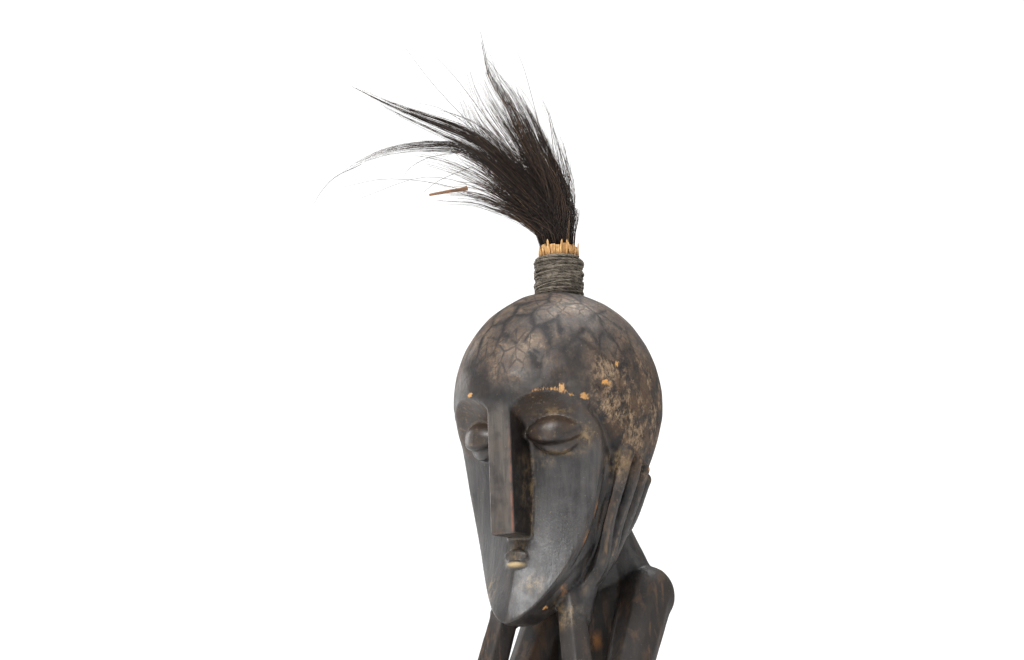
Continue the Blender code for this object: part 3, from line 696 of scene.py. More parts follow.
def fingerCrest(points):
    # 1 along the outermost line of each finger, stronger on the middle ones: there wear and a painted
    # highlight are laid
    low, full, high = handPlan["crestLevels"]
    crest = np.zeros(len(points))
    across, back, level = inDrawing(points)
    spots = np.column_stack([np.abs(across), back, level + headPlan["chin"]])
    chosen = np.flatnonzero((level > 0.0) & (level < high) & (spots[:, 0] > handPlan["crestInner"]))
    spots = spots[chosen]
    for (path, radii), strength in zip(fingerRows(), handPlan["crests"]):
        rows = smoothRows(np.column_stack([path, radii]), 30)
        tree = kdtree.KDTree(len(rows))
        for number, row in enumerate(rows):
            tree.insert(row[:3], number)
        tree.balance()
        nearest = np.array([tree.find(p)[1] for p in spots])
        axis, radius = rows[nearest, :3], rows[nearest, 3]
        apart = spots - axis
        away = np.linalg.norm(apart, axis=1)
        outward = unit(axis * [1.0, 1.0, 0.0] - np.array(handPlan["crestMiddle"]))
        facing = np.sum(apart * outward, axis=1) / np.maximum(away, 1e-6)
        here = smoothstep(*handPlan["crestFacing"], facing) * (np.abs(away - radius) < handPlan["crestDepth"])
        crest[chosen] = np.maximum(crest[chosen], here * strength)
    return crest * smoothstep(low, full, level)


def armForms():
    shoulder, elbow, wrist = (bodyPlan[name] for name in ("shoulder", "elbow", "wrist"))
    upper = [shoulder, between(shoulder, elbow, 0.4, (-3.5, 1.5, 0.0)), elbow]
    fore = [elbow, between(elbow, wrist, 0.5, (0.5, -1.0, 0.0)), wrist, between(elbow, wrist, 1.14)]
    palm = np.array(handPlan["palm"])
    return [
        limb(upper, bodyPlan["upperArm"], sides=bodyPlan["flats"]),
        ball(shoulder, bodyPlan["shoulderBall"]),
        ball(elbow, bodyPlan["elbowBall"]),
        limb(fore, bodyPlan["forearm"], sides=handPlan["flats"]),
        limb(palm[:, :3], palm[:, 3]),
    ]


def legForms():
    hip, knee, ankle, toes = (bodyPlan[name] for name in ("hip", "knee", "ankle", "toes"))
    flat = bodyPlan["footFlatness"]
    thigh = [hip, between(hip, knee, 0.5, (2.0, 0.0, 2.0)), knee]
    sole = (ankle[0], ankle[1], bodyPlan["heelLevel"])
    shin = [knee, between(knee, ankle, 0.35, (1.0, 6.0, 0.0)), between(knee, ankle, 0.8), ankle, sole]
    heel = (ankle[0], ankle[1] + bodyPlan["heelBack"], bodyPlan["heelLevel"])
    foot = [heel, between(heel, toes, 0.4, (0.0, 0.0, 2.0)), toes]
    wide = bodyPlan["foot"][-1]
    return [
        limb(thigh, bodyPlan["thigh"], sides=bodyPlan["flats"]),
        ball(knee, bodyPlan["kneeBall"]),
        ball(hip, bodyPlan["hipBall"]),
        limb(shin, bodyPlan["shin"], sides=bodyPlan["flats"]),
        ball(heel, (bodyPlan["heel"],) * 3),
        limb(foot, bodyPlan["foot"], squash=(1.0, 1.0, flat)),
        ball(toes, (wide, bodyPlan["toeDepth"], wide * flat)),
    ]


def torsoForms():
    trunk = np.array(bodyPlan["trunk"], float)
    trapezius = np.array(bodyPlan["trapezius"])
    top, root = bodyPlan["neckTop"], bodyPlan["neckRoot"]
    neck = [top, between(top, root, 0.5, (0.0, 2.0, 0.0)), root, bodyPlan["ribCage"][0]]
    x, y, z = bodyPlan["shoulder"]
    yoke = []
    for side in np.linspace(-1.0, 1.0, len(bodyPlan["yoke"])):
        arch = bodyPlan["yokeArch"] * (1 - side * side)
        yoke.append((x * side, y + arch, z + arch))
    blade = ball(*bodyPlan["shoulderBlade"], tilt=math.radians(bodyPlan["bladeTilt"]))
    strap = limb(trapezius[:, :3], trapezius[:, 3])
    return [
        ball(*bodyPlan["ribCage"]),
        blade,
        mirroredForm(blade),
        strap,
        mirroredForm(strap),
        limb(trunk[:, :3], trunk[:, 3], squash=(bodyPlan["trunkFlatness"], 1.0, 1.0)),
        limb(neck, bodyPlan["neck"]),
        limb(yoke, bodyPlan["yoke"]),
    ]


def stoolAndBaseForms():
    circle = unitCircle(basePlan["sides"])
    stool = circle * basePlan["stoolRadius"] + [0.0, bodyPlan["hip"][1]]
    low = -baseHeight / mm
    push = (np.abs(circle) ** basePlan["corner"]).sum(axis=1) ** (-1 / basePlan["corner"])
    halfWidth, front, back = basePlan["halfWidth"], basePlan["front"], basePlan["back"]
    size = np.array([halfWidth, (front + back) / 2])
    base = circle * push[:, None] * size + [0.0, (back - front) / 2]
    return [
        prism(stool, low / 2, basePlan["stoolTop"], basePlan["stoolTaper"]),
        prism(base, low * (1 + basePlan["spare"]), 0.0, basePlan["taper"]),
    ]


def figureForms():
    left = [*fingerForms(), *armForms(), *legForms()]
    forms = [*carvedHead(), *left, *map(mirroredForm, left), *torsoForms(), *stoolAndBaseForms()]
    return [(points * mm + [0.0, 0.0, baseHeight], faces) for points, faces in forms]


carvingPlan = {
    "voxel": 0.00105,
    "triangles": 192000,
    "bodySoftening": 8,
    "headSoftening": 2,
    "faceSoftening": 1,
    "facetSize": 0.0135,
    "facetShare": 0.5,
    "facetLimit": 0.0009,
    "facetOnBody": 0.35,
    "facetBlur": 5,
    "clearance": 0.0003,  # round the splints and under the cord
    "seatMargin": 0.0027,  # how far the flat seat reaches past the cord
    "cutHeight": 0.040,
    "floorCut": (200.0, -0.060),  # its reach in the drawing, and its foot
    "cutSides": 96,
}


def cutTrue(figure):
    # flat under the base, flat where the cord sits, and bored for the tuft
    spare, high = carvingPlan["clearance"], carvingPlan["cutHeight"]
    seat = cordBox[0][2] - spare
    radius = (cordBox[1][0] - cordBox[0][0]) / 2
    bore = (splintBox[1][0] - splintBox[0][0]) / 2 + spare
    reach, foot = carvingPlan["floorCut"]
    circle = unitCircle(carvingPlan["cutSides"])
    cutAway(figure, prism(circle * reach * mm, foot, 0.0))
    for reach, low in ((radius + carvingPlan["seatMargin"], seat), (bore, splintBox[0][2] - spare)):
        cutAway(figure, prism(circle * reach + [0.0, tuftBack], low, seat + high))


def outlineShare(across, level):
    # how far out a point lies from the face's middle, 1 on the outline
    bearings, radii = faceOutline()
    up = level - facePlan["centre"]
    edge = np.interp(np.arctan2(up, np.abs(across)), bearings, radii)
    return np.hypot(across, up) / np.maximum(edge, 1e-6)


def faceInside(points):
    # 1 on the carved face, 0 off it
    across, back, level = inDrawing(points)
    return smoothstep(1.02, 0.98, outlineShare(across, level)) * (back < -18.0)


def outlineGroove(points):
    # 1 along the bottom of the cut line round the face
    across, back, level = inDrawing(points)
    away = outlineShare(across, level) - facePlan["groovePlace"]
    groove = np.exp(-((away / facePlan["grooveWidth"]) ** 2)) * smoothstep(-12.0, -17.0, back)
    return groove * smoothstep(149.0, 138.0, level) * smoothstep(7.0, 15.0, np.abs(across))


def headWeight(points):
    # 1 on the head and the hands on it, 0 on the body
    _, back, level = inDrawing(points)
    return smoothstep(-6.0, 12.0, level + np.clip(back - 8.0, 0.0, 60.0) * -0.9)


def carveFacets(mesh, strength):
    # broad knife flats: each point is drawn towards the plane of its nearest flat
    points, normals = pointsOf(mesh), normalsOf(mesh)
    rng = np.random.default_rng(7)
    head = headWeight(points)
    stretch = np.column_stack([np.ones(len(points))] * 2 + [0.45 + 0.4 * head])
    space = points * stretch
    cells = {}
    for i in rng.permutation(len(points)):
        key = tuple((space[i] / carvingPlan["facetSize"]).astype(int))
        if key not in cells:
            cells[key] = i
    seeds = np.array(sorted(cells.values()))
    tree = kdtree.KDTree(len(seeds))
    for place, i in enumerate(seeds):
        tree.insert(space[i], place)
    tree.balance()
    edges = edgesOf(mesh)
    smooth = unit(softened(normals, edges, 10))
    nearest = np.array([seeds[tree.find(p)[1]] for p in space])
    seedNormal = smooth[nearest]
    lift = np.sum((points[nearest] - points) * seedNormal, axis=1)
    along = np.sum(normals * seedNormal, axis=1)
    lift = np.where(along > 0.75, lift / np.maximum(along, 0.75), 0.0)
    lift = np.clip(lift * carvingPlan["facetShare"], -carvingPlan["facetLimit"], carvingPlan["facetLimit"])
    lift = softened(lift, edges, carvingPlan["facetBlur"])
    setPoints(mesh, points + normals * (lift * strength)[:, None])


def makeCarving():
    figure = addObject("carvedFigure", meshOf(figureForms(), "carvedFigure"))
    remesh = figure.modifiers.new("joinForms", "REMESH")
    remesh.mode = "VOXEL"
    remesh.voxel_size = carvingPlan["voxel"]
    mesh = applied(figure)
    print("carving joined:", len(mesh.vertices), "points")

    points, edges = pointsOf(mesh), edgesOf(mesh)
    face, head = faceInside(points), headWeight(points)
    for steps, where in (
        ("bodySoftening", 1 - head), ("headSoftening", head * (1 - face)), ("faceSoftening", face)
    ):
        steady = softened(points, edges, carvingPlan[steps])
        points += (steady - points) * where[:, None]
    setPoints(mesh, points)
    groove = outlineGroove(points) * facePlan["grooveDepth"] * mm
    setPoints(mesh, points - normalsOf(mesh) * groove[:, None])
    points = pointsOf(mesh)
    skull = smoothstep(118.0, 136.0, (points[:, 2] - baseHeight) / mm - headPlan["chin"])
    onBody = carvingPlan["facetOnBody"]
    carveFacets(mesh, (1 - softened(face, edges, 4)) * (onBody + (1 - onBody) * skull))

    thin = figure.modifiers.new("thinOut", "DECIMATE")
    mesh.calc_loop_triangles()
    thin.ratio = min(carvingPlan["triangles"] / len(mesh.loop_triangles), 1.0)
    mesh = applied(figure)
    cutTrue(figure)
    figure.data.shade_smooth()
    print("carving finished:", len(figure.data.vertices), "points")
    return figure


figure = makeCarving()


# Masks that steer the wood's stain, wear and dirt, and its painted shade and painted highlight, worked out on
# the finished surface

wearPlan = {
    "edgeReach": 5,
    "edgeGain": 900.0,
    "hollowReach": 14,
    "hollowGain": 420.0,
    "crackleRaise": 34.0,  # how much higher the crackled crown starts at the brow
    "crackleBehind": (0.42, 1.0),  # its strength behind and in front
    # each spot below is given by across, back, level above the chin, how wide and how tall
    "rawWood": {
        "browSpike": (42.5, -59.0, 154.5, 3.6, 6.5),
        "templeChip": (54.0, -47.0, 149.5, 7.5, 4.4),
        "templeHigh": (61.5, -34.5, 158.0, 6.5, 4.6),
        "crownChips": (66.0, -24.0, 172.0, 5.0, 5.0),
        "farBrow": (-25.5, -69.0, 155.0, 6.0, 3.4),
        "bridge": (-9.2, -70.0, 137.0, 2.0, 6.0),
        "chinEdge": (22.0, -42.0, 8.0, 6.0, 2.4),
    },
    "orangeWear": {
        "jawStrip": (47.5, -24.0, 78.0, 3.6, 15.0),
        "jawStripLow": (43.0, -27.0, 56.0, 3.4, 14.0),
        "jawLow": (30.0, -36.0, 22.0, 5.0, 6.0),
        "belly": (9.0, 33.0, -6.0, 8.0, 8.0),
        "farArm": (-52.0, -30.0, -20.0, 3.0, 12.0),
    },
    "lipWear": {"lowerLip": (1.0, -54.5, 40.2, 10.5, 2.6)},
    "darkStain": {
        "crownFront": (47.0, -49.0, 182.0, 13.0, 42.0),
        "foreheadRight": (-17.0, -69.0, 168.0, 14.0, 22.0),
        "sideBack": (66.0, 22.0, 160.0, 26.0, 44.0),
        "foreheadLow": (4.0, -70.0, 150.0, 22.0, 12.0),
    },
    "tanPatch": {
        "foreheadMiddle": (17.0, -64.0, 182.0, 16.0, 18.0),
        "socketSide": (62.0, -26.0, 142.0, 9.0, 17.0),
        "aboveFingers": (65.0, -8.0, 126.0, 13.0, 24.0),
        "templeTop": (62.0, -30.0, 168.0, 12.0, 14.0),
        "sideLow": (67.0, 4.0, 128.0, 12.0, 17.0),
        "crownTop": (40.0, -30.0, 222.0, 14.0, 12.0),
    },
    "goldenWear": {  # where the stain is rubbed to a dusty gold
        "upperLip": (1.0, -53.0, 53.0, 12.0, 10.0),
        "chinLeft": (-21.0, -47.0, 28.0, 10.0, 15.0),
        "chinRight": (13.0, -50.0, 27.0, 13.0, 10.0),
        "cheekCorner": (11.5, -45.0, 96.0, 2.6, 42.0),
        "cheekCornerLow": (11.5, -47.0, 72.0, 2.6, 18.0),
        "cheek": (20.0, -43.0, 112.0, 8.0, 9.0),
        "noseFoot": (3.0, -50.0, 57.0, 11.0, 5.0),
        "lidRing": (31.0, -50.0, 141.5, 20.0, 3.4),
        "lidDust": (34.0, -45.0, 112.5, 21.0, 3.4),
        "templeHollow": (50.0, -40.0, 122.0, 8.0, 12.0),
        "fingerTip": (61.0, -15.0, 113.0, 6.0, 7.0),
        "fingerRoots": (60.0, -12.0, 108.0, 16.0, 10.0),
        "wrist": (27.0, -33.0, 6.0, 16.0, 14.0),
    },
}


# Each mask multiplies fields and ramps; a ramp says where its field gives 0 and where it gives 1
maskPlan = {
    "skull": ("offFace", ("crownLevel", 112.0, 138.0)),
    "crackleFront": (("back", 20.0, -30.0), ("across", -45.0, -15.0)),
    "jawBand": ("offFace", "offBody", ("back", -12.0, -19.0), ("level", 112.0, 96.0), ("level", -4.0, 6.0)),
    "roughSide": (
        "offFace", ("across", 36.0, 52.0), ("back", -50.0, -34.0),
        ("level", 88.0, 112.0), ("level", 196.0, 164.0),
    ),
    "nose": ("noseEdge", ("behindFront", 1.6, 0.4), ("level", 56.0, 62.0), ("level", 136.0, 112.0)),
    # painted shade: the nose's side walls, darkened as if in shadow
    "noseWallShade": (
        ("sideways", 0.45, 0.8), ("aside", 12.5, 11.0), ("behindFront", 1.0, 3.0),
        ("level", 146.0, 130.0), ("level", 58.7, 58.9), ("back", 0.0, -1.0),
    ),
    "noseFront": (
        ("offFront", 2.2, 0.4), ("aside", 11.1, 10.9), ("forwards", 0.3, 0.7),
        ("level", 56.0, 62.0), ("level", 150.0, 138.0),
    ),
    # painted shade along the slit under the upper lids
    "lidSlitShade": ("face", "slitLine", ("offEye", 19.1, 18.9), ("back", -33.9, -34.1)),
    "browChips": (
        ("outline", 0.985, 1.0), ("outline", 1.075, 1.015), ("level", 146.0, 150.0),
        ("across", 19.0, 26.0), ("across", 66.0, 58.0), ("back", -29.9, -30.1),
    ),
    "hand": ("offFace", "offBody", ("level", 118.0, 108.0), ("back", -52.0, -30.0), ("aside", 20.0, 30.0)),
    # the upper face under the brow, painted darker, partly as shade
    "socket": ("face", ("level", 113.0, 124.0), ("behindFront", 2.9, 3.1)),
    "edgeShade": (
        ("outline", 0.994, 1.008), ("outline", 1.085, 1.045), ("back", -12.0, -17.0),
        ("level", 150.0, 138.0), ("aside", 5.0, 12.0),
    ),
}


def spotWeight(points, spot):
    # 1 in the middle of a spot, which is the surface point nearest to the place named
    x, y, level, wide, tall = spot
    centre = np.array([x * mm, y * mm, (headPlan["chin"] + level) * mm + baseHeight])
    centre = points[np.argmin(np.linalg.norm(points - centre, axis=1))]
    away = (points - centre) / (np.array([wide, wide, tall]) * mm)
    return smoothstep(1.0, 0.2, np.linalg.norm(away, axis=1))


def surfaceFields(points, normals):
    # what the masks run over: places in the drawing, and how far off some lines a point lies
    across, back, level = inDrawing(points)
    aside = np.abs(across)
    face, body = faceInside(points), 1 - headWeight(points)
    slope = (nosePlan["bridgeFront"] - nosePlan["tipFront"]) / (nosePlan["top"] - nosePlan["bottom"])
    behindFront = nosePlan["tipFront"] + (level - nosePlan["bottom"]) * slope + back
    edgePlace, edgeWidth = nosePlan["rubbedEdge"]
    noseEdge = np.exp(-(((aside - edgePlace) / edgeWidth) ** 2))
    eyeAcross, _, eyeLevel = eyePlan["place"]
    slit, apart = eyePlan["slit"], aside - eyeAcross
    slitLevel = eyeLevel - slit["drop"] + apart * slit["lean"]
    slitLevel += (apart / slit["halfLength"]) ** 2 * slit["rise"]
    return {
        "across": across, "aside": aside, "back": back, "level": level,
        "crownLevel": level - wearPlan["crackleRaise"] * smoothstep(-15.0, -55.0, back),
        "face": face, "offFace": 1 - face, "body": body, "offBody": 1 - body,
        "behindFront": behindFront, "offFront": np.abs(behindFront),
        "noseEdge": noseEdge * np.where(across > 0, 1.0, nosePlan["farEdgeWear"]),
        "sideways": np.abs(normals[:, 0]), "forwards": -normals[:, 1],
        "offEye": np.abs(apart), "slitLine": np.exp(-(((level - slitLevel) / slit["width"]) ** 2)),
        "outline": outlineShare(across, level),
    }


def addMasks(figure):
    mesh = figure.data
    points, normals, edges = pointsOf(mesh), normalsOf(mesh), edgesOf(mesh)
    near = softened(points, edges, wearPlan["edgeReach"])
    wide = softened(points, edges, wearPlan["hollowReach"])
    bulge = np.sum((points - near) * normals, axis=1)
    dip = np.sum((wide - points) * normals, axis=1)
    fields = surfaceFields(points, normals)
    masks = {
        "edgeWear": np.clip(bulge * wearPlan["edgeGain"], 0.0, 1.0),
        "hollow": np.clip(dip * wearPlan["hollowGain"], 0.0, 1.0),
        "face": fields["face"],
        "body": fields["body"],
        "outlineGroove": outlineGroove(points),
        "fingerCrest": fingerCrest(points),
    }
    for name, parts in maskPlan.items():
        masks[name] = np.ones(len(points))
        for part in parts:
            masks[name] *= fields[part] if isinstance(part, str) else smoothstep(*part[1:], fields[part[0]])
    low, high = wearPlan["crackleBehind"]
    masks["crackle"] = masks["skull"] * (low + (high - low) * masks.pop("crackleFront"))
    for name in ("rawWood", "goldenWear", "orangeWear", "lipWear", "darkStain", "tanPatch"):
        masks[name] = np.max([spotWeight(points, spot) for spot in wearPlan[name].values()], axis=0)
    for name, values in masks.items():
        addAttribute(mesh, name, values)


addMasks(figure)


# Node helpers

def newMaterial(name):
    material = bpy.data.materials.new(name)
    material.use_nodes = True
    tree = material.node_tree
    return material, tree, tree.nodes["Principled BSDF"]


def put(tree, socket, value):
    if isinstance(value, bpy.types.NodeSocket):
        tree.links.new(value, socket)
    elif isinstance(value, tuple) and len(value) == 3 and socket.type == "RGBA":
        socket.default_value = (*value, 1.0)
    else:
        socket.default_value = value


def place(tree, scale=(1.0, 1.0, 1.0), turn=(0.0, 0.0, 0.0)):
    coordinates = tree.nodes.new("ShaderNodeTexCoord")
    mapping = tree.nodes.new("ShaderNodeMapping")
    mapping.inputs["Scale"].default_value = scale
    mapping.inputs["Rotation"].default_value = turn
    tree.links.new(coordinates.outputs["Object"], mapping.inputs["Vector"])
    return mapping.outputs["Vector"]


def noise(tree, where, scale, detail=4.0, roughness=0.6, distortion=0.0):
    node = tree.nodes.new("ShaderNodeTexNoise")
    for name, value in (
        ("Vector", where), ("Scale", scale), ("Detail", detail),
        ("Roughness", roughness), ("Distortion", distortion),
    ):
        put(tree, node.inputs[name], value)
    return node.outputs["Fac"]


def cellEdges(tree, where, scale, randomness):
    # how far off the edge of its cell a place is
    node = tree.nodes.new("ShaderNodeTexVoronoi")
    node.feature = "DISTANCE_TO_EDGE"
    put(tree, node.inputs["Vector"], where)
    put(tree, node.inputs["Scale"], scale)
    put(tree, node.inputs["Randomness"], randomness)
    return node.outputs["Distance"]


def span(tree, value, low, high, toLow=0.0, toHigh=1.0, soft=True):
    # a value's range from low to high, spread over another range
    node = tree.nodes.new("ShaderNodeMapRange")
    node.interpolation_type = "SMOOTHSTEP" if soft else "LINEAR"
    put(tree, node.inputs["Value"], value)
    for name, number in (("From Min", low), ("From Max", high), ("To Min", toLow), ("To Max", toHigh)):
        put(tree, node.inputs[name], number)
    return node.outputs["Result"]


def calc(tree, operation, one, two=0.0, clamp=False):
    node = tree.nodes.new("ShaderNodeMath")
    node.operation = operation
    node.use_clamp = clamp
    put(tree, node.inputs[0], one)
    put(tree, node.inputs[1], two)
    return node.outputs[0]


def times(tree, *factors):
    product = factors[0]
    for factor in factors[1:]:
        product = calc(tree, "MULTIPLY", product, factor)
    return product


def blend(tree, share, one, two):
    node = tree.nodes.new("ShaderNodeMix")
    node.data_type = "RGBA"
    put(tree, node.inputs["Factor"], share)
    put(tree, node.inputs[6], one)
    put(tree, node.inputs[7], two)
    return node.outputs[2]


def over(tree, color, tone, *shares):
    # a tone laid over a color, as strongly as its shares multiplied
    return blend(tree, times(tree, *shares), color, tone)


def patches(tree, where, scale, low, high, toLow=0.0, toHigh=1.0, detail=5.0, roughness=0.6):
    # noise with its middle range spread out into patches
    return span(tree, noise(tree, where, scale, detail, roughness), low, high, toLow, toHigh)


def moved(tree, where, field, amount):
    # a place pushed about by a noise
    centred = calc(tree, "SUBTRACT", field, 0.5)
    pushed = calc(tree, "MULTIPLY", centred, amount)
    node = tree.nodes.new("ShaderNodeVectorMath")
    node.operation = "ADD"
    put(tree, node.inputs[0], where)
    combine = tree.nodes.new("ShaderNodeCombineXYZ")
    for axis in range(3):
        put(tree, combine.inputs[axis], pushed)
    put(tree, node.inputs[1], combine.outputs[0])
    return node.outputs[0]


def mask(tree, name):
    node = tree.nodes.new("ShaderNodeAttribute")
    node.attribute_name = name
    return node.outputs["Fac"]


def heightOf(tree, where):
    split = tree.nodes.new("ShaderNodeSeparateXYZ")
    put(tree, split.inputs[0], where)
    return split.outputs["Z"]


def bump(tree, height, strength, distance, base=None):
    node = tree.nodes.new("ShaderNodeBump")
    put(tree, node.inputs["Height"], height)
    put(tree, node.inputs["Strength"], strength)
    put(tree, node.inputs["Distance"], distance)
    if base is not None:
        put(tree, node.inputs["Normal"], base)
    return node.outputs["Normal"]


woodPlan = {
    "black": (0.013, 0.012, 0.012),
    "charcoal": (0.047, 0.044, 0.043),
    "brown": (0.092, 0.057, 0.035),
    "bodyBlack": (0.017, 0.013, 0.011),
    "wornBrown": (0.092, 0.053, 0.029),
    "skullBrown": (0.165, 0.115, 0.077),
    # near-black of the cracks and pits, used as well for painted shade on the nose walls, in the cut line
    # round the face, beside its edge, in the lid slit and between the fingers
    "crack": (0.010, 0.008, 0.008),
    "tan": (0.270, 0.190, 0.120),
    "raw": (0.560, 0.270, 0.080),
    "dust": (0.270, 0.190, 0.100),
    "pale": (0.470, 0.350, 0.185),
    # the fingers' crests: worn wood and painted highlight
    "crest": (0.330, 0.220, 0.120),
    "red": (0.300, 0.105, 0.060),
    "noseFront": (0.092, 0.079, 0.069),
    # brown of the sockets, partly painted shade
    "socket": (0.048, 0.031, 0.021),
    "orange": (0.290, 0.135, 0.045),
    "faceDark": (0.032, 0.030, 0.030),
    "faceGrey": (0.056, 0.053, 0.052),
    "roughness": 0.42,
    "grainStretch": 0.10,
    "blotchStretch": 0.72,
    "crackScale": 58.0,
    "crackWidth": 0.25,
    "crackWander": 0.009,
    "facePolish": -0.05,
}


def woodFields(tree):
    # the places and noises that the layers below share
    plain = place(tree)
    grainPlace = place(tree, scale=(1.0, 1.0, woodPlan["grainStretch"]))
    tallPlace = place(tree, scale=(1.0, 1.0, woodPlan["blotchStretch"]))
    return {
        "plain": plain,
        "tall": tallPlace,
        "slow": noise(tree, plain, 24.0, 3.0),
        "middle": noise(tree, plain, 90.0, 5.0),
        "fine": noise(tree, plain, 420.0, 4.0, 0.65),
        "grain": noise(tree, grainPlace, 520.0, 4.0, 0.6),
        "streak": noise(tree, grainPlace, 150.0, 4.0, 0.6, 0.6),
        "mottle": noise(tree, tallPlace, 360.0, 6.0, 0.8),
    }


def stainLayer(tree, wood):
    # charcoal over brown, rubbed thin in streaks
    body, streak = mask(tree, "body"), wood["streak"]
    color = blend(tree, span(tree, wood["middle"], 0.35, 0.68), woodPlan["black"], woodPlan["charcoal"])
    rubbed = times(tree, span(tree, streak, 0.50, 0.72), span(tree, wood["slow"], 0.42, 0.66))
    color = over(tree, color, woodPlan["brown"], rubbed, 0.6)
    color = over(tree, color, woodPlan["bodyBlack"], body, 0.80)
    worn = times(
        tree, calc(tree, "MAXIMUM", body, mask(tree, "jawBand")), span(tree, streak, 0.46, 0.60),
        patches(tree, wood["plain"], 38.0, 0.44, 0.62, 0.12),
    )
    return over(tree, color, woodPlan["wornBrown"], worn, 0.75)


def crownLayer(tree, wood, color):
    # browner, in patches of tan and black stain
    plain, fine, middle, skull = wood["plain"], wood["fine"], wood["middle"], mask(tree, "skull")
    tone = blend(tree, patches(tree, plain, 60.0, 0.36, 0.64), woodPlan["brown"], woodPlan["skullBrown"])
    tone = over(tree, tone, woodPlan["charcoal"], span(tree, fine, 0.42, 0.60, 0.0, 0.75))
    flecks = patches(tree, plain, 300.0, 0.56, 0.66, roughness=0.7)
    tone = over(tree, tone, woodPlan["tan"], flecks, span(tree, middle, 0.4, 0.6), 0.55)
    color = over(tree, color, tone, skull, span(tree, wood["slow"], 0.34, 0.60, 0.30, 0.95))
    stained = span(tree, middle, 0.34, 0.56, 0.25, 0.95)
    color = over(tree, color, woodPlan["black"], mask(tree, "darkStain"), stained)
    lit = span(tree, fine, 0.46, 0.62)
    return over(tree, color, woodPlan["tan"], skull, mask(tree, "tanPatch"), lit, 0.7)


def crackleLines(tree, wood):
    # soft dark lines between uneven plates, with finer ones here and there
    plain, scale, broad = wood["plain"], woodPlan["crackScale"], woodPlan["crackWidth"]
    warp = noise(tree, plain, 30.0, 4.0, 0.55)
    warped = moved(tree, place(tree, scale=(1.0, 1.0, 0.66)), warp, woodPlan["crackWander"])
    width = patches(tree, plain, 38.0, 0.35, 0.65, 0.35 * broad, broad, detail=3.0)
    plates = cellEdges(tree, warped, scale, 0.85)
    crack = calc(tree, "SUBTRACT", 1.0, calc(tree, "DIVIDE", plates, width), clamp=True)
    crack = times(tree, crack, patches(tree, plain, 34.0, 0.34, 0.54, 0.25, 1.3, detail=3.0))
    fineCrack = span(tree, cellEdges(tree, warped, 2.1 * scale, 0.9), 0.0, 0.12, 0.7, 0.0)
    fineCrack = times(tree, fineCrack, patches(tree, plain, 26.0, 0.42, 0.54, detail=2.0))
    crack = calc(tree, "MAXIMUM", crack, fineCrack)
    return times(tree, crack, mask(tree, "crackle"), span(tree, wood["fine"], 0.25, 0.6, 0.75, 1.1))


def roughSideLayer(tree, wood, color):
    # the worn and pitted side of the head; gives its share and its pits as well
    side, middle = mask(tree, "roughSide"), wood["middle"]
    ground = blend(tree, span(tree, middle, 0.4, 0.6), woodPlan["black"], woodPlan["brown"])
    color = over(tree, color, ground, side, 0.75)
    blotch = noise(tree, wood["tall"], 64.0, 12.0, 0.82, 0.25)
    tanField = calc(tree, "ADD", blotch, times(tree, mask(tree, "tanPatch"), 0.10))
    mottled = span(tree, wood["mottle"], 0.40, 0.56, 0.05, 1.0)
    color = over(tree, color, woodPlan["tan"], span(tree, tanField, 0.50, 0.61), mottled, side)
    pits = times(tree, span(tree, noise(tree, wood["tall"], 105.0, 12.0, 0.85, 0.3), 0.555, 0.60), side)
    return over(tree, color, woodPlan["crack"], pits, 0.9), side, pits


def faceLayer(tree, wood, color):
    # smooth charcoal in faint upright streaks, and dusty brown sockets whose darkening is partly painted
    # shade under the brow
    satin = blend(tree, span(tree, wood["streak"], 0.40, 0.62), woodPlan["faceDark"], woodPlan["faceGrey"])
    color = over(tree, color, satin, mask(tree, "face"), 0.72)
    socket = mask(tree, "socket")
    # the sockets: brown tone, with partly painted shade under the brow
    color = over(tree, color, woodPlan["socket"], socket, span(tree, wood["middle"], 0.36, 0.60, 0.25, 0.9))
    sprinkled = patches(tree, wood["plain"], 230.0, 0.55, 0.68, detail=8.0, roughness=0.8)
    return over(tree, color, woodPlan["dust"], socket, sprinkled, 0.6)


def darkLineLayer(tree, wood, color):
    # the nose's rubbed front, then painted shade on the nose's side walls, in the cut line round the face, on
    # the band just outside it and in the slit of the lids
    middle, streak = wood["middle"], wood["streak"]
    front = times(tree, span(tree, middle, 0.3, 0.6, 0.4, 1.0), span(tree, streak, 0.36, 0.56, 0.45, 1.0))
    color = over(tree, color, woodPlan["noseFront"], mask(tree, "noseFront"), front)
    # painted shade, laid on in the crack tone
    dark = times(tree, mask(tree, "noseWallShade"), span(tree, middle, 0.60, 0.70, 0.97, 0.25))
    for name, strength in (("outlineGroove", 0.9), ("edgeShade", 0.7), ("lidSlitShade", 0.8)):
        dark = calc(tree, "MAXIMUM", dark, times(tree, mask(tree, name), strength))
    return over(tree, color, woodPlan["crack"], dark)


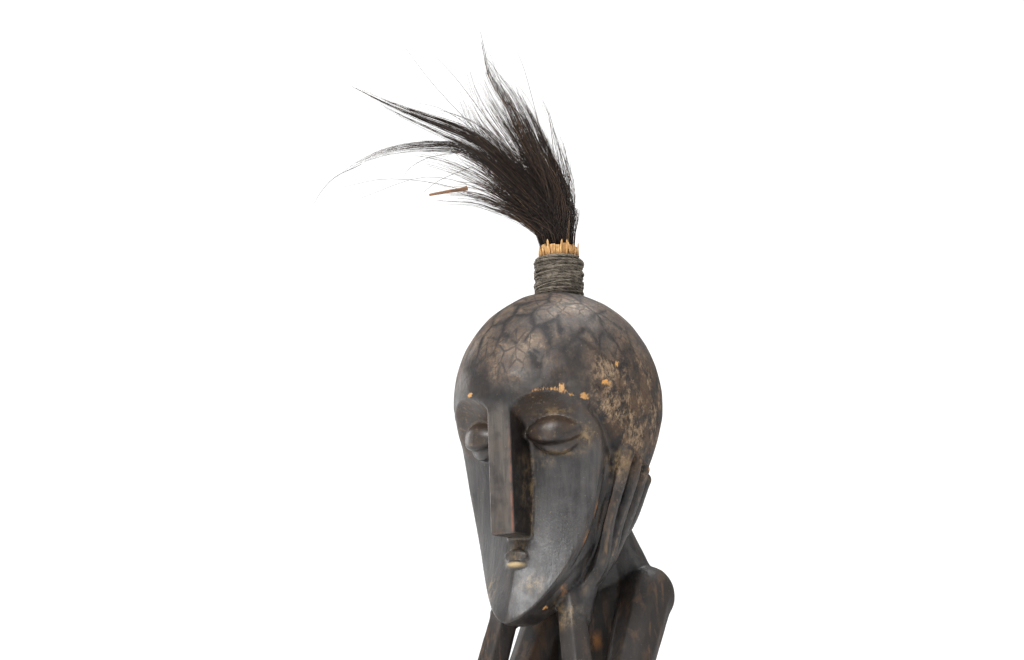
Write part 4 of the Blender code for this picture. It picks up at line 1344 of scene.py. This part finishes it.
def rubbedLayer(tree, wood, color):
    # edges rubbed brown, the fingers' crests painted pale as wear and painted highlight, painted shade
    # between the fingers, hollows full of dust; gives the dust as well
    plain = wood["plain"]
    # no rubbed edges on the nose walls that are painted in shade
    offWall = calc(tree, "SUBTRACT", 1.0, mask(tree, "noseWallShade"), clamp=True)
    rubbed = patches(tree, plain, 120.0, 0.40, 0.66)
    color = over(tree, color, woodPlan["brown"], mask(tree, "edgeWear"), offWall, rubbed, 0.8)
    # painted highlight and wear along the fingers' crests
    crest = span(tree, wood["streak"], 0.34, 0.52, 0.35, 1.0)
    color = over(tree, color, woodPlan["crest"], mask(tree, "fingerCrest"), crest)
    reddened = span(tree, wood["middle"], 0.38, 0.62)
    color = over(tree, color, woodPlan["red"], mask(tree, "nose"), reddened, 0.7)
    hollow = mask(tree, "hollow")
    # painted shade in the hollows between the fingers
    fingerGapShade = times(tree, hollow, mask(tree, "hand"))
    color = over(tree, color, woodPlan["crack"], fingerGapShade, 0.9)
    specks = patches(tree, plain, 640.0, 0.66, 0.72, detail=3.0)
    color = over(tree, color, woodPlan["dust"], specks, 0.30)
    dusty = calc(tree, "SUBTRACT", hollow, fingerGapShade)
    dust = times(tree, dusty, patches(tree, plain, 160.0, 0.46, 0.66, roughness=0.7))
    return over(tree, color, woodPlan["dust"], dust, 0.55), dust


def chipLayer(tree, wood, color):
    # wear down to gold, orange and raw wood; gives the chips as well
    tall = wood["tall"]
    dusty = patches(tree, tall, 190.0, 0.42, 0.64, detail=7.0, roughness=0.75)
    color = over(tree, color, woodPlan["dust"], mask(tree, "goldenWear"), dusty, 0.62)
    color = over(tree, color, woodPlan["pale"], mask(tree, "lipWear"), 0.85)
    orange = patches(tree, tall, 120.0, 0.38, 0.56, detail=7.0, roughness=0.7)
    color = over(tree, color, woodPlan["orange"], mask(tree, "orangeWear"), orange, 0.9)
    shredded = noise(tree, place(tree, scale=(1.0, 1.0, 0.45)), 380.0, 7.0, 0.8)
    raw = calc(tree, "MAXIMUM", mask(tree, "rawWood"), times(tree, mask(tree, "browChips"), 0.62))
    chip = span(tree, calc(tree, "ADD", raw, times(tree, shredded, 2.0)), 1.52, 1.74)
    rawTone = blend(tree, span(tree, wood["mottle"], 0.35, 0.65), woodPlan["raw"], woodPlan["dust"])
    return over(tree, color, rawTone, chip), chip


def woodMaterial():
    material, tree, shader = newMaterial("stainedWood")
    wood = woodFields(tree)
    color = crownLayer(tree, wood, stainLayer(tree, wood))
    crack = crackleLines(tree, wood)
    color = over(tree, color, woodPlan["crack"], crack, 0.95)
    color, side, pits = roughSideLayer(tree, wood, color)
    color = darkLineLayer(tree, wood, faceLayer(tree, wood, color))
    color, dust = rubbedLayer(tree, wood, color)
    color, chip = chipLayer(tree, wood, color)
    put(tree, shader.inputs["Base Color"], color)

    polish = woodPlan["roughness"]
    rough = span(tree, wood["middle"], 0.3, 0.7, polish - 0.06, polish + 0.10)
    for share, amount in (
        (side, 0.22), (dust, 0.2), (mask(tree, "body"), 0.14), (mask(tree, "skull"), 0.05),
        (crack, 0.1), (chip, 0.25), (mask(tree, "face"), woodPlan["facePolish"]),
    ):
        rough = calc(tree, "ADD", rough, times(tree, share, amount))
    put(tree, shader.inputs["Roughness"], calc(tree, "ADD", rough, 0.0, clamp=True))

    normal = bump(tree, wood["grain"], 0.40, 0.0004)
    normal = bump(tree, wood["fine"], 0.28, 0.0005, normal)
    for relief, strength, depth in ((pits, 0.6, 0.0010), (crack, 0.22, 0.0005), (chip, 0.6, 0.0006)):
        normal = bump(tree, times(tree, relief, -1.0), strength, depth, normal)
    put(tree, shader.inputs["Normal"], normal)
    return material


figure.data.materials.clear()
figure.data.materials.append(woodMaterial())
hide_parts("carved_figure")
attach(figure, "root")
print("carving stained")


# Cord: one twine of twisted strands wound round and round

cordPlan = {
    "turns": 13,
    "plies": 3,
    "twistLength": 0.016,
    "plyShare": 0.58,  # a strand's radius over the twine's
    "wander": 0.0011,
    "ringsPerTwist": 12,
    "overlaps": 11,  # strands that cross the turns aslant
    "overlapThickness": 0.50,
    "overlapTurn": (1.6, 3.2),
    "overlapSlope": (0.0012, 0.0042),
    "overlapPlace": (-0.0105, 0.0095),  # above the middle
    "fuzz": 620,
    "fuzzLift": (0.0004, 0.0016),
    "fuzzRadius": (0.00011, 0.00005),
    "coreDepth": 0.0015,
    "dark": (0.068, 0.058, 0.047),
    "light": (0.185, 0.160, 0.128),
    "fibre": (0.300, 0.260, 0.205),
    "grime": (0.045, 0.036, 0.030),
    "foot": (0.016, 0.011, 0.008),
}


def cordPath(turns, rng):
    # the twine's middle line, as points with the direction out from the tuft's axis
    radius = (cordBox[1][0] - cordBox[0][0]) / 2
    height = cordBox[1][2] - cordBox[0][2]
    thick = height / turns
    steps = int(turns * 2 * math.pi * radius / cordPlan["twistLength"] * cordPlan["ringsPerTwist"])
    turn = np.linspace(0.0, (turns - 1) * 2 * math.pi, steps)
    share = turn / turn[-1]
    phase = rng.uniform(0, 2 * math.pi, 6)
    sway = sum(np.sin(turn * f + p) for f, p in zip((0.31, 0.73, 1.37, 2.11, 2.9, 4.3), phase)) / 3
    z = cordBox[0][2] + thick / 2 + share * (height - thick)
    z += sway * cordPlan["wander"] * np.sin(math.pi * share)
    out = np.column_stack([np.cos(turn), np.sin(turn), np.zeros(steps)])
    reach = radius - thick / 2 + 0.4 * cordPlan["wander"] * np.sin(turn * 1.7 + 1.0)
    path = out * reach[:, None]
    path[:, 1] += tuftBack
    path[:, 2] = z
    return path, out, thick / 2


def makeCord():
    rng = np.random.default_rng(11)
    path, out, radius = cordPath(cordPlan["turns"], rng)
    along = unit(np.gradient(path, axis=0))
    up = np.cross(along, out)
    length = np.concatenate([[0.0], np.cumsum(np.linalg.norm(np.diff(path, axis=0), axis=1))])
    paths, radii = [], []
    for ply in range(cordPlan["plies"]):
        angle = length / cordPlan["twistLength"] * 2 * math.pi + ply * 2 * math.pi / cordPlan["plies"]
        offset = out * np.cos(angle)[:, None] + up * np.sin(angle)[:, None]
        paths.append(path + offset * radius * (1 - cordPlan["plyShare"]))
        radii.append(np.full(len(path), radius * cordPlan["plyShare"]))
    forms = [sweptTubes(np.array(paths), np.array(radii), 6)]
    middle, outer = (cordBox[0][2] + cordBox[1][2]) / 2, (cordBox[1][0] - cordBox[0][0]) / 2
    for _ in range(cordPlan["overlaps"]):
        turn = np.linspace(0.0, rng.uniform(*cordPlan["overlapTurn"]), 60) + rng.uniform(0, 2 * math.pi)
        share = np.linspace(-1.0, 1.0, 60)
        slope = rng.uniform(*cordPlan["overlapSlope"])
        level = middle + rng.uniform(*cordPlan["overlapPlace"]) + slope * share
        reach = outer - 0.0010 * np.abs(share) ** 3 - 0.00035
        aslant = np.column_stack([np.cos(turn) * reach, tuftBack + np.sin(turn) * reach, level])
        forms.append(sweptTubes(aslant[None], np.full((1, 60), radius * cordPlan["overlapThickness"]), 7))
    core = unitCircle(48) * (outer - cordPlan["coreDepth"]) + [0.0, tuftBack]
    forms.append(prism(core, cordBox[0][2], cordBox[1][2] - cordPlan["coreDepth"]))
    # loose fibres that stand off the twine
    steps = np.linspace(0.0, 1.0, 5)
    fibres = []
    for i in rng.integers(0, len(path) - 60, cordPlan["fuzz"]):
        lift = rng.uniform(*cordPlan["fuzzLift"])
        reach = rng.uniform(0.7, 1.0) * radius
        fibre = path[i + (steps * rng.integers(10, 50)).astype(int)]
        fibre = fibre + out[i] * reach + up[i] * rng.normal(0.0, 0.5) * radius
        fibre = fibre + out[i] * lift * steps[:, None] ** 1.5
        fibres.append(fibre + [0, 0, rng.normal(0, 0.0006)] * steps[:, None])
    fibres = np.array(fibres)
    forms.append(sweptTubes(fibres, np.linspace(*cordPlan["fuzzRadius"], 5)[None].repeat(len(fibres), 0), 3))
    cord = addObject("cordBinding", meshOf(forms, "cordBinding"))
    cord.data.shade_smooth()
    return cord


def cordMaterial():
    material, tree, shader = newMaterial("duskyTwine")
    plain = place(tree)
    fibre = noise(tree, place(tree, scale=(1.0, 1.0, 3.5)), 1500.0, 4.0, 0.7)
    mixed = patches(tree, plain, 260.0, 0.35, 0.68, detail=4.0)
    tone = blend(tree, mixed, cordPlan["dark"], cordPlan["light"])
    tone = over(tree, tone, cordPlan["fibre"], span(tree, fibre, 0.45, 0.75, 0.0, 0.6))
    tone = over(tree, tone, cordPlan["grime"], patches(tree, plain, 70.0, 0.50, 0.72, 0.0, 0.6, detail=3.0))
    low = cordBox[0][2]
    foot = span(tree, heightOf(tree, plain), low + 0.0048, low + 0.0010)
    tone = over(tree, tone, cordPlan["foot"], foot, patches(tree, plain, 120.0, 0.38, 0.56, detail=4.0), 0.85)
    put(tree, shader.inputs["Base Color"], tone)
    put(tree, shader.inputs["Roughness"], span(tree, fibre, 0.3, 0.7, 0.78, 0.96))
    put(tree, shader.inputs["Normal"], bump(tree, fibre, 0.5, 0.0003))
    return material


cord = makeCord()
cord.data.materials.append(cordMaterial())
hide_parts("cord_binding")
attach(cord, "root")
print("cord wound")


# Splints: split slivers of raw wood pressed round the hair, broken off unevenly

splintPlan = {
    "broad": {
        "count": 19, "top": 0.0086, "inset": 0.0021, "width": 0.0034,
        "shortest": 0.78, "lean": (0.0, 0.03), "blunt": (0.55, 0.85),
    },
    "narrow": {
        "count": 21, "top": 0.0128, "inset": 0.0008, "width": 0.0010,
        "shortest": 0.40, "lean": (-0.10, 0.22), "blunt": (0.08, 0.3),
    },
    "thickness": 0.0013,
    "shoulder": 0.006,  # how far under the cord's top they start to lean
    "gold": (0.42, 0.225, 0.075),
    "straw": (0.60, 0.385, 0.165),
    "grain": (0.17, 0.080, 0.030),
    "foot": (0.16, 0.075, 0.030),
}


def makeSplints():
    rng = np.random.default_rng(5)
    outer = (splintBox[1][0] - splintBox[0][0]) / 2
    low, cordTop = splintBox[0][2], cordBox[1][2]
    forms = []
    for layer in (splintPlan["broad"], splintPlan["narrow"]):
        for number in range(layer["count"]):
            turn = (number + rng.uniform(-0.2, 0.2)) / layer["count"] * 2 * math.pi
            out = np.array([math.cos(turn), math.sin(turn), 0.0])
            side = np.array([-math.sin(turn), math.cos(turn), 0.0])
            rise = layer["top"] * rng.uniform(layer["shortest"], 1.0)
            lean = rng.normal(*layer["lean"])
            spread = rng.uniform(-0.02, 0.05)
            above = np.array([low - cordTop, -splintPlan["shoulder"], 0.0, rise * 0.5, rise * 0.86, rise])
            free = np.clip(above, 0.0, 1.0)[:, None]
            path = out * (outer - layer["inset"]) + side * free * lean + out * free * spread
            path[:, 1] += tuftBack
            path[:, 2] = cordTop + above
            half = layer["width"] * rng.uniform(0.8, 1.2)
            radii = half * np.array([0.9, 1.0, 1.0, 0.95, 0.82, rng.uniform(*layer["blunt"])])
            flat = splintPlan["thickness"] / half * rng.uniform(0.4, 0.6)
            forms.append(sweptTubes(path[None], radii[None], 6, flatness=flat, facing=out[None]))
    splints = addObject("splintRing", meshOf(forms, "splintRing"))
    splints.data.shade_smooth()
    splints.data.set_sharp_from_angle(angle=math.radians(35.0))
    return splints


def splintMaterial():
    material, tree, shader = newMaterial("splitWood")
    plain = place(tree)
    grain = noise(tree, place(tree, scale=(1.0, 1.0, 0.06)), 1900.0, 4.0, 0.65)
    mixed = patches(tree, plain, 230.0, 0.35, 0.65, detail=3.0)
    tone = blend(tree, mixed, splintPlan["gold"], splintPlan["straw"])
    tone = over(tree, tone, splintPlan["grain"], span(tree, grain, 0.42, 0.64, 0.0, 0.9))
    cordTop = cordBox[1][2]
    foot = span(tree, heightOf(tree, plain), cordTop + 0.0035, cordTop, 0.0, 0.55)
    put(tree, shader.inputs["Base Color"], over(tree, tone, splintPlan["foot"], foot))
    put(tree, shader.inputs["Roughness"], span(tree, grain, 0.3, 0.7, 0.55, 0.8))
    put(tree, shader.inputs["Normal"], bump(tree, grain, 0.5, 0.0004))
    return material


splints = makeSplints()
splints.data.materials.append(splintMaterial())
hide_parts("splint_ring")
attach(splints, "root")
print("splints set")


# Hair: every strand is a fine tube that follows its lock

hairPlan = {
    "leanBearing": 214.5,  # the tuft falls forward and to the figure's right
    "drawnHeight": 156.0,
    "strandRadius": 0.00015,
    "rings": 12,
    "rootRadius": 0.0104,
    "tuftSpread": 0.40,  # how far a lock's small tufts stand from its middle
    "looseness": 0.07,
    "shortening": 0.7,  # how much of its tuft's length a strand may lack
    "rootDepth": 0.012,
    "straw": ((64, 41), (69, 40), (78, 39), (91, 37)),
    "strawRadii": (0.0019, 0.0013, 0.0012, 0.0009),
    "strawTurn": -8,
    "strawColor": (0.215, 0.120, 0.070),
    "black": (0.014, 0.009, 0.007),
    "brown": (0.060, 0.036, 0.024),
    "lighter": (0.105, 0.064, 0.040),
    "bleached": (0.300, 0.205, 0.125),
}

# Each lock: (lean, rise) path in drawing millimetres, turn in degrees, strands and the tufts they gather in,
# spread at middle and tip, and how short its shortest tufts are
locks = {
    "tall": dict(path=((0, 0), (3, 30), (12, 55), (23, 80), (34, 103), (46, 120), (51, 138), (57, 161)),
                 turn=10, strands=420, tufts=17, middle=17.0, tip=4.0, shortest=0.40),
    "back": dict(path=((-1, 0), (-4, 22), (-2, 40), (6, 60), (16, 80), (26, 98), (34, 118)),
                 turn=32, strands=320, tufts=15, middle=15.0, tip=13.0, shortest=0.25),
    "middle": dict(path=((0, 0), (12, 30), (32, 55), (49, 75), (62, 92), (74, 126)),
                   turn=-16, strands=440, tufts=26, middle=25.0, tip=22.0, shortest=0.64),
    "fan": dict(path=((0, 0), (7, 25), (17, 47), (31, 72), (45, 94), (55, 114), (61, 136)),
                turn=-6, strands=230, tufts=17, middle=17.0, tip=17.0, shortest=0.78),
    "long": dict(path=((0, 0), (11, 23), (28, 43), (44, 59), (60, 72), (94, 86), (118, 96), (154, 114)),
                 turn=4, strands=430, tufts=14, middle=9.0, tip=1.4, shortest=0.28),
    "drooping": dict(path=((0, 0), (12, 24), (31, 45), (53, 61), (72, 71), (110, 72), (140, 64), (169, 44)),
                     turn=-9, strands=210, tufts=11, middle=9.0, tip=1.2, shortest=0.30),
    "low": dict(path=((1, 0), (17, 17), (37, 31), (54, 42), (73, 50), (92, 54), (110, 55)),
                turn=15, strands=340, tufts=16, middle=14.0, tip=17.0, shortest=0.36),
    "lowest": dict(path=((1, 0), (18, 15), (41, 29), (58, 36), (78, 38), (92, 40)),
                   turn=-6, strands=270, tufts=13, middle=11.0, tip=14.0, shortest=0.36),
}


def tuftPoint(lean, rise, turn):
    # a place by its lean and rise from the top of the splints, in drawing millimetres
    scale = (hairBox[1][2] - splintTop) / hairPlan["drawnHeight"]
    bearing = math.radians(hairPlan["leanBearing"] + turn)
    out = np.asarray(lean, float) * scale / math.cos(math.radians(turn))
    z = splintTop + np.asarray(rise, float) * scale
    return np.stack([out * math.cos(bearing), tuftBack + out * math.sin(bearing), z], axis=-1)


def lockStrands(lock, rng):
    rows = tuftPoint(*np.array(lock["path"], float).T, lock["turn"])
    middle = smoothRows(rows, 12)
    length = np.concatenate([[0.0], np.cumsum(np.linalg.norm(np.diff(middle, axis=0), axis=1))])
    total = length[-1]
    count = int(lock["strands"] * (1.0))
    rings = hairPlan["rings"]
    strands = np.empty((count, rings, 3))
    along = unit(np.gradient(middle, axis=0))
    side = unit(np.cross(along, [0.0, 0.0, 1.0]) + 1e-6)
    other = np.cross(side, along)
    tufts = lock["tufts"]
    leading = max(tufts // 6, 1)  # these run on to the lock's tip
    offsets = rng.normal(0.0, hairPlan["tuftSpread"], (tufts, 2))
    tuftReach = 1 - (1 - lock["shortest"]) * rng.beta(1.2, 1.5, tufts)
    tuftReach[:leading] = 1.0
    offsets[:leading] *= 0.3
    share = np.linspace(0.0, 1.0, rings)
    for s in range(count):
        own = rng.integers(tufts)
        reach = total * tuftReach[own] * (1 - hairPlan["shortening"] * rng.beta(1.3, 1.7))
        at = share * reach
        centre, across, upward = (sampled(rows, length, at) for rows in (middle, side, other))
        turn, far = rng.uniform(0, 2 * math.pi), math.sqrt(rng.uniform())
        where = at / total
        bulge = lock["middle"] * np.minimum(where / 0.5, 1.0) * (1 - smoothstep(0.5, 1.0, where))
        bulge += lock["tip"] * smoothstep(0.4, 1.0, where)
        spread = offsets[own] + rng.standard_t(3, 2) * hairPlan["looseness"]
        loose = smoothstep(0.05, 0.4, share)
        root = np.array([math.cos(turn), math.sin(turn), 0.0]) * far * hairPlan["rootRadius"]
        root = root * (1 - smoothstep(0.0, 0.6, where))[:, None]
        wave = rng.uniform(0.0003, 0.0013) * np.sin(share * rng.uniform(3, 9) + rng.uniform(0, 6)) * loose
        flare = np.clip(spread, -1.1, 1.1)[:, None] * bulge * 0.001
        strands[s] = centre + root
        strands[s] += across * (flare[0] + wave)[:, None]
        strands[s] += upward * (flare[1] + wave[::-1] * loose)[:, None]
        strands[s, 0, 2] = splintTop - hairPlan["rootDepth"]
    return strands


strays = {  # single hairs away from the locks: (lean, rise) path, turn
    "crossing": (((4, 10), (38, 60), (66, 92), (90, 120), (110, 148)), -8),
    "upright": (((-2, 12), (8, 60), (18, 100), (24, 122), (29, 134)), 24),
    "whisker": (((140, 62), (158, 54), (168, 44), (174, 34)), -9),
    "rightOne": (((-4, 5), (-7, 30), (-8, 52), (-4, 70)), 40),
    "rightTwo": (((-3, 5), (-6, 40), (0, 70), (12, 98)), 36),
    "rightThree": (((-4, 8), (-8, 44), (-9, 62)), 20),
    "farLow": (((30, 22), (62, 38), (96, 42), (140, 24)), 9),
    "farLower": (((40, 26), (80, 40), (120, 44), (150, 38)), 2),
    "loop": (((60, 62), (88, 56), (102, 48), (108, 40)), 12),
    "loopTwo": (((62, 58), (84, 50), (98, 40)), -14),
    "wildOne": (((30, 45), (58, 84), (82, 104), (104, 112)), -18),
    "wildTwo": (((26, 55), (52, 92), (72, 120), (88, 138)), -4),
    "wildThree": (((12, 60), (34, 96), (44, 120), (50, 128)), 18),
}


def makeHair():
    rng = np.random.default_rng(3)
    pieces = []
    rings = hairPlan["rings"]
    taper = hairPlan["strandRadius"] * (1 - 0.65 * np.linspace(0.0, 1.0, rings) ** 2)
    for name, group in (
        ("hairUpper", ("tall", "back", "middle", "fan")), ("hairLower", ("long", "drooping", "low", "lowest"))
    ):
        strands = np.concatenate([lockStrands(locks[lock], rng) for lock in group])
        thick = rng.uniform(0.7, 1.25, len(strands))[:, None] * taper
        piece = addObject(name, meshOf([sweptTubes(strands, thick, 3)], name))
        addAttribute(piece.data, "strandTone", np.repeat(rng.uniform(0, 1, len(strands)), 3 * rings))
        pieces.append(piece)
    loose = []
    for path, turn in strays.values():
        full = smoothRows(tuftPoint(*np.array(path, float).T, turn), 12)
        loose.append(sampled(full, np.arange(len(full)), np.linspace(0, len(full) - 1, rings)))
    thick = np.tile(taper * 1.5, (len(loose), 1))
    pieces.append(addObject("strayHairs", meshOf([sweptTubes(np.array(loose), thick, 3)], "strayHairs")))
    for piece in pieces:
        piece.data.shade_smooth()
    return pieces


def hairMaterial():
    material, tree, shader = newMaterial("horseHair")
    plain = place(tree)
    strand = mask(tree, "strandTone")
    mixed = patches(tree, plain, 900.0, 0.52, 0.74, detail=3.0)
    tone = blend(tree, mixed, hairPlan["black"], hairPlan["brown"])
    tone = over(tree, tone, hairPlan["lighter"], span(tree, strand, 0.72, 0.93))
    tone = over(tree, tone, hairPlan["bleached"], span(tree, strand, 0.965, 0.985))
    put(tree, shader.inputs["Base Color"], tone)
    put(tree, shader.inputs["Roughness"], patches(tree, plain, 1200.0, 0.3, 0.7, 0.38, 0.55, detail=2.0))
    put(tree, shader.inputs["Normal"], bump(tree, noise(tree, plain, 2500.0, 2.0), 0.15, 0.0001))
    return material


def makeStraw():
    # a bit of dry stalk caught in the lowest lock
    rows = tuftPoint(*np.array(hairPlan["straw"], float).T, hairPlan["strawTurn"])
    thick = np.array([hairPlan["strawRadii"]])
    straw = addObject("strawSliver", meshOf([sweptTubes(rows[None], thick, 5)], "strawSliver"))
    material, tree, shader = newMaterial("dryStalk")
    put(tree, shader.inputs["Base Color"], hairPlan["strawColor"])
    put(tree, shader.inputs["Roughness"], 0.8)
    straw.data.materials.append(material)
    return straw


hairPieces = makeHair()
hairFinish = hairMaterial()
for piece in hairPieces:
    piece.data.materials.append(hairFinish)
for piece in (*hairPieces, makeStraw()):
    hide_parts("hair_tuft")
    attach(piece, "root")
print("hair laid:", sum(len(p.data.polygons) for p in hairPieces), "faces")


# Studio: a pale floor, a white backdrop and soft light

studioPlan = {
    "floor": 6.0,
    "glow": (0.55, 1.9, 0.0, 0.62),  # from where to where it rises, and between which strengths
    "paper": (0.80, 0.80, 0.80),
    "backdrop": 1.0,  # how bright the white surroundings look
    "surround": 0.45,  # how much light they give
    "aimHeight": 0.45,
    "lights": {  # place, size, watts
        "key": ((-0.1, -2.0, 1.8), 1.5, 54.0),
        "topLight": ((0.1, 0.2, 2.2), 1.6, 26.0),
        "rightFill": ((2.1, -0.1, 1.2), 1.6, 10.0),
        "leftRim": ((-2.1, 0.2, 0.9), 1.6, 12.0),
    },
}


def makeStudio():
    size = studioPlan["floor"]
    corners = [(-size, -size, 0), (size, -size, 0), (size, size, 0), (-size, size, 0)]
    floor = addObject("paleFloor", meshOf([(corners, [[0, 1, 2, 3]])], "paleFloor"))
    material, tree, shader = newMaterial("palePaper")
    shader.inputs["Base Color"].default_value = (*studioPlan["paper"], 1.0)
    shader.inputs["Roughness"].default_value = 0.9
    # away from the lights the paper glows, so that it runs into the white backdrop
    away = tree.nodes.new("ShaderNodeVectorMath")
    away.operation = "LENGTH"
    put(tree, away.inputs[0], place(tree))
    put(tree, shader.inputs["Emission Color"], (1.0, 1.0, 1.0))
    put(tree, shader.inputs["Emission Strength"], span(tree, away.outputs["Value"], *studioPlan["glow"]))
    floor.data.materials.append(material)
    world = bpy.data.worlds.new("studioWhite")
    world.use_nodes = True
    tree = world.node_tree
    background = tree.nodes["Background"]
    background.inputs["Color"].default_value = (1.0, 1.0, 1.0, 1.0)
    seen = tree.nodes.new("ShaderNodeLightPath").outputs["Is Camera Ray"]
    strength = span(tree, seen, 0.0, 1.0, studioPlan["surround"], studioPlan["backdrop"], soft=False)
    tree.links.new(strength, background.inputs["Strength"])
    bpy.context.scene.world = world
    bpy.context.scene.view_settings.view_transform = "Standard"
    bpy.context.scene.view_settings.look = "Medium High Contrast"
    for name, (spot, width, watts) in studioPlan["lights"].items():
        data = bpy.data.lights.new(name, "AREA")
        data.shape = "DISK"
        data.size = width
        data.energy = watts
        light = bpy.data.objects.new(name, data)
        light.location = spot
        aim = Vector((0.0, 0.0, studioPlan["aimHeight"])) - Vector(spot)
        light.rotation_euler = aim.to_track_quat("-Z", "Y").to_euler()
        bpy.context.scene.collection.objects.link(light)


makeStudio()
print("studio lit")
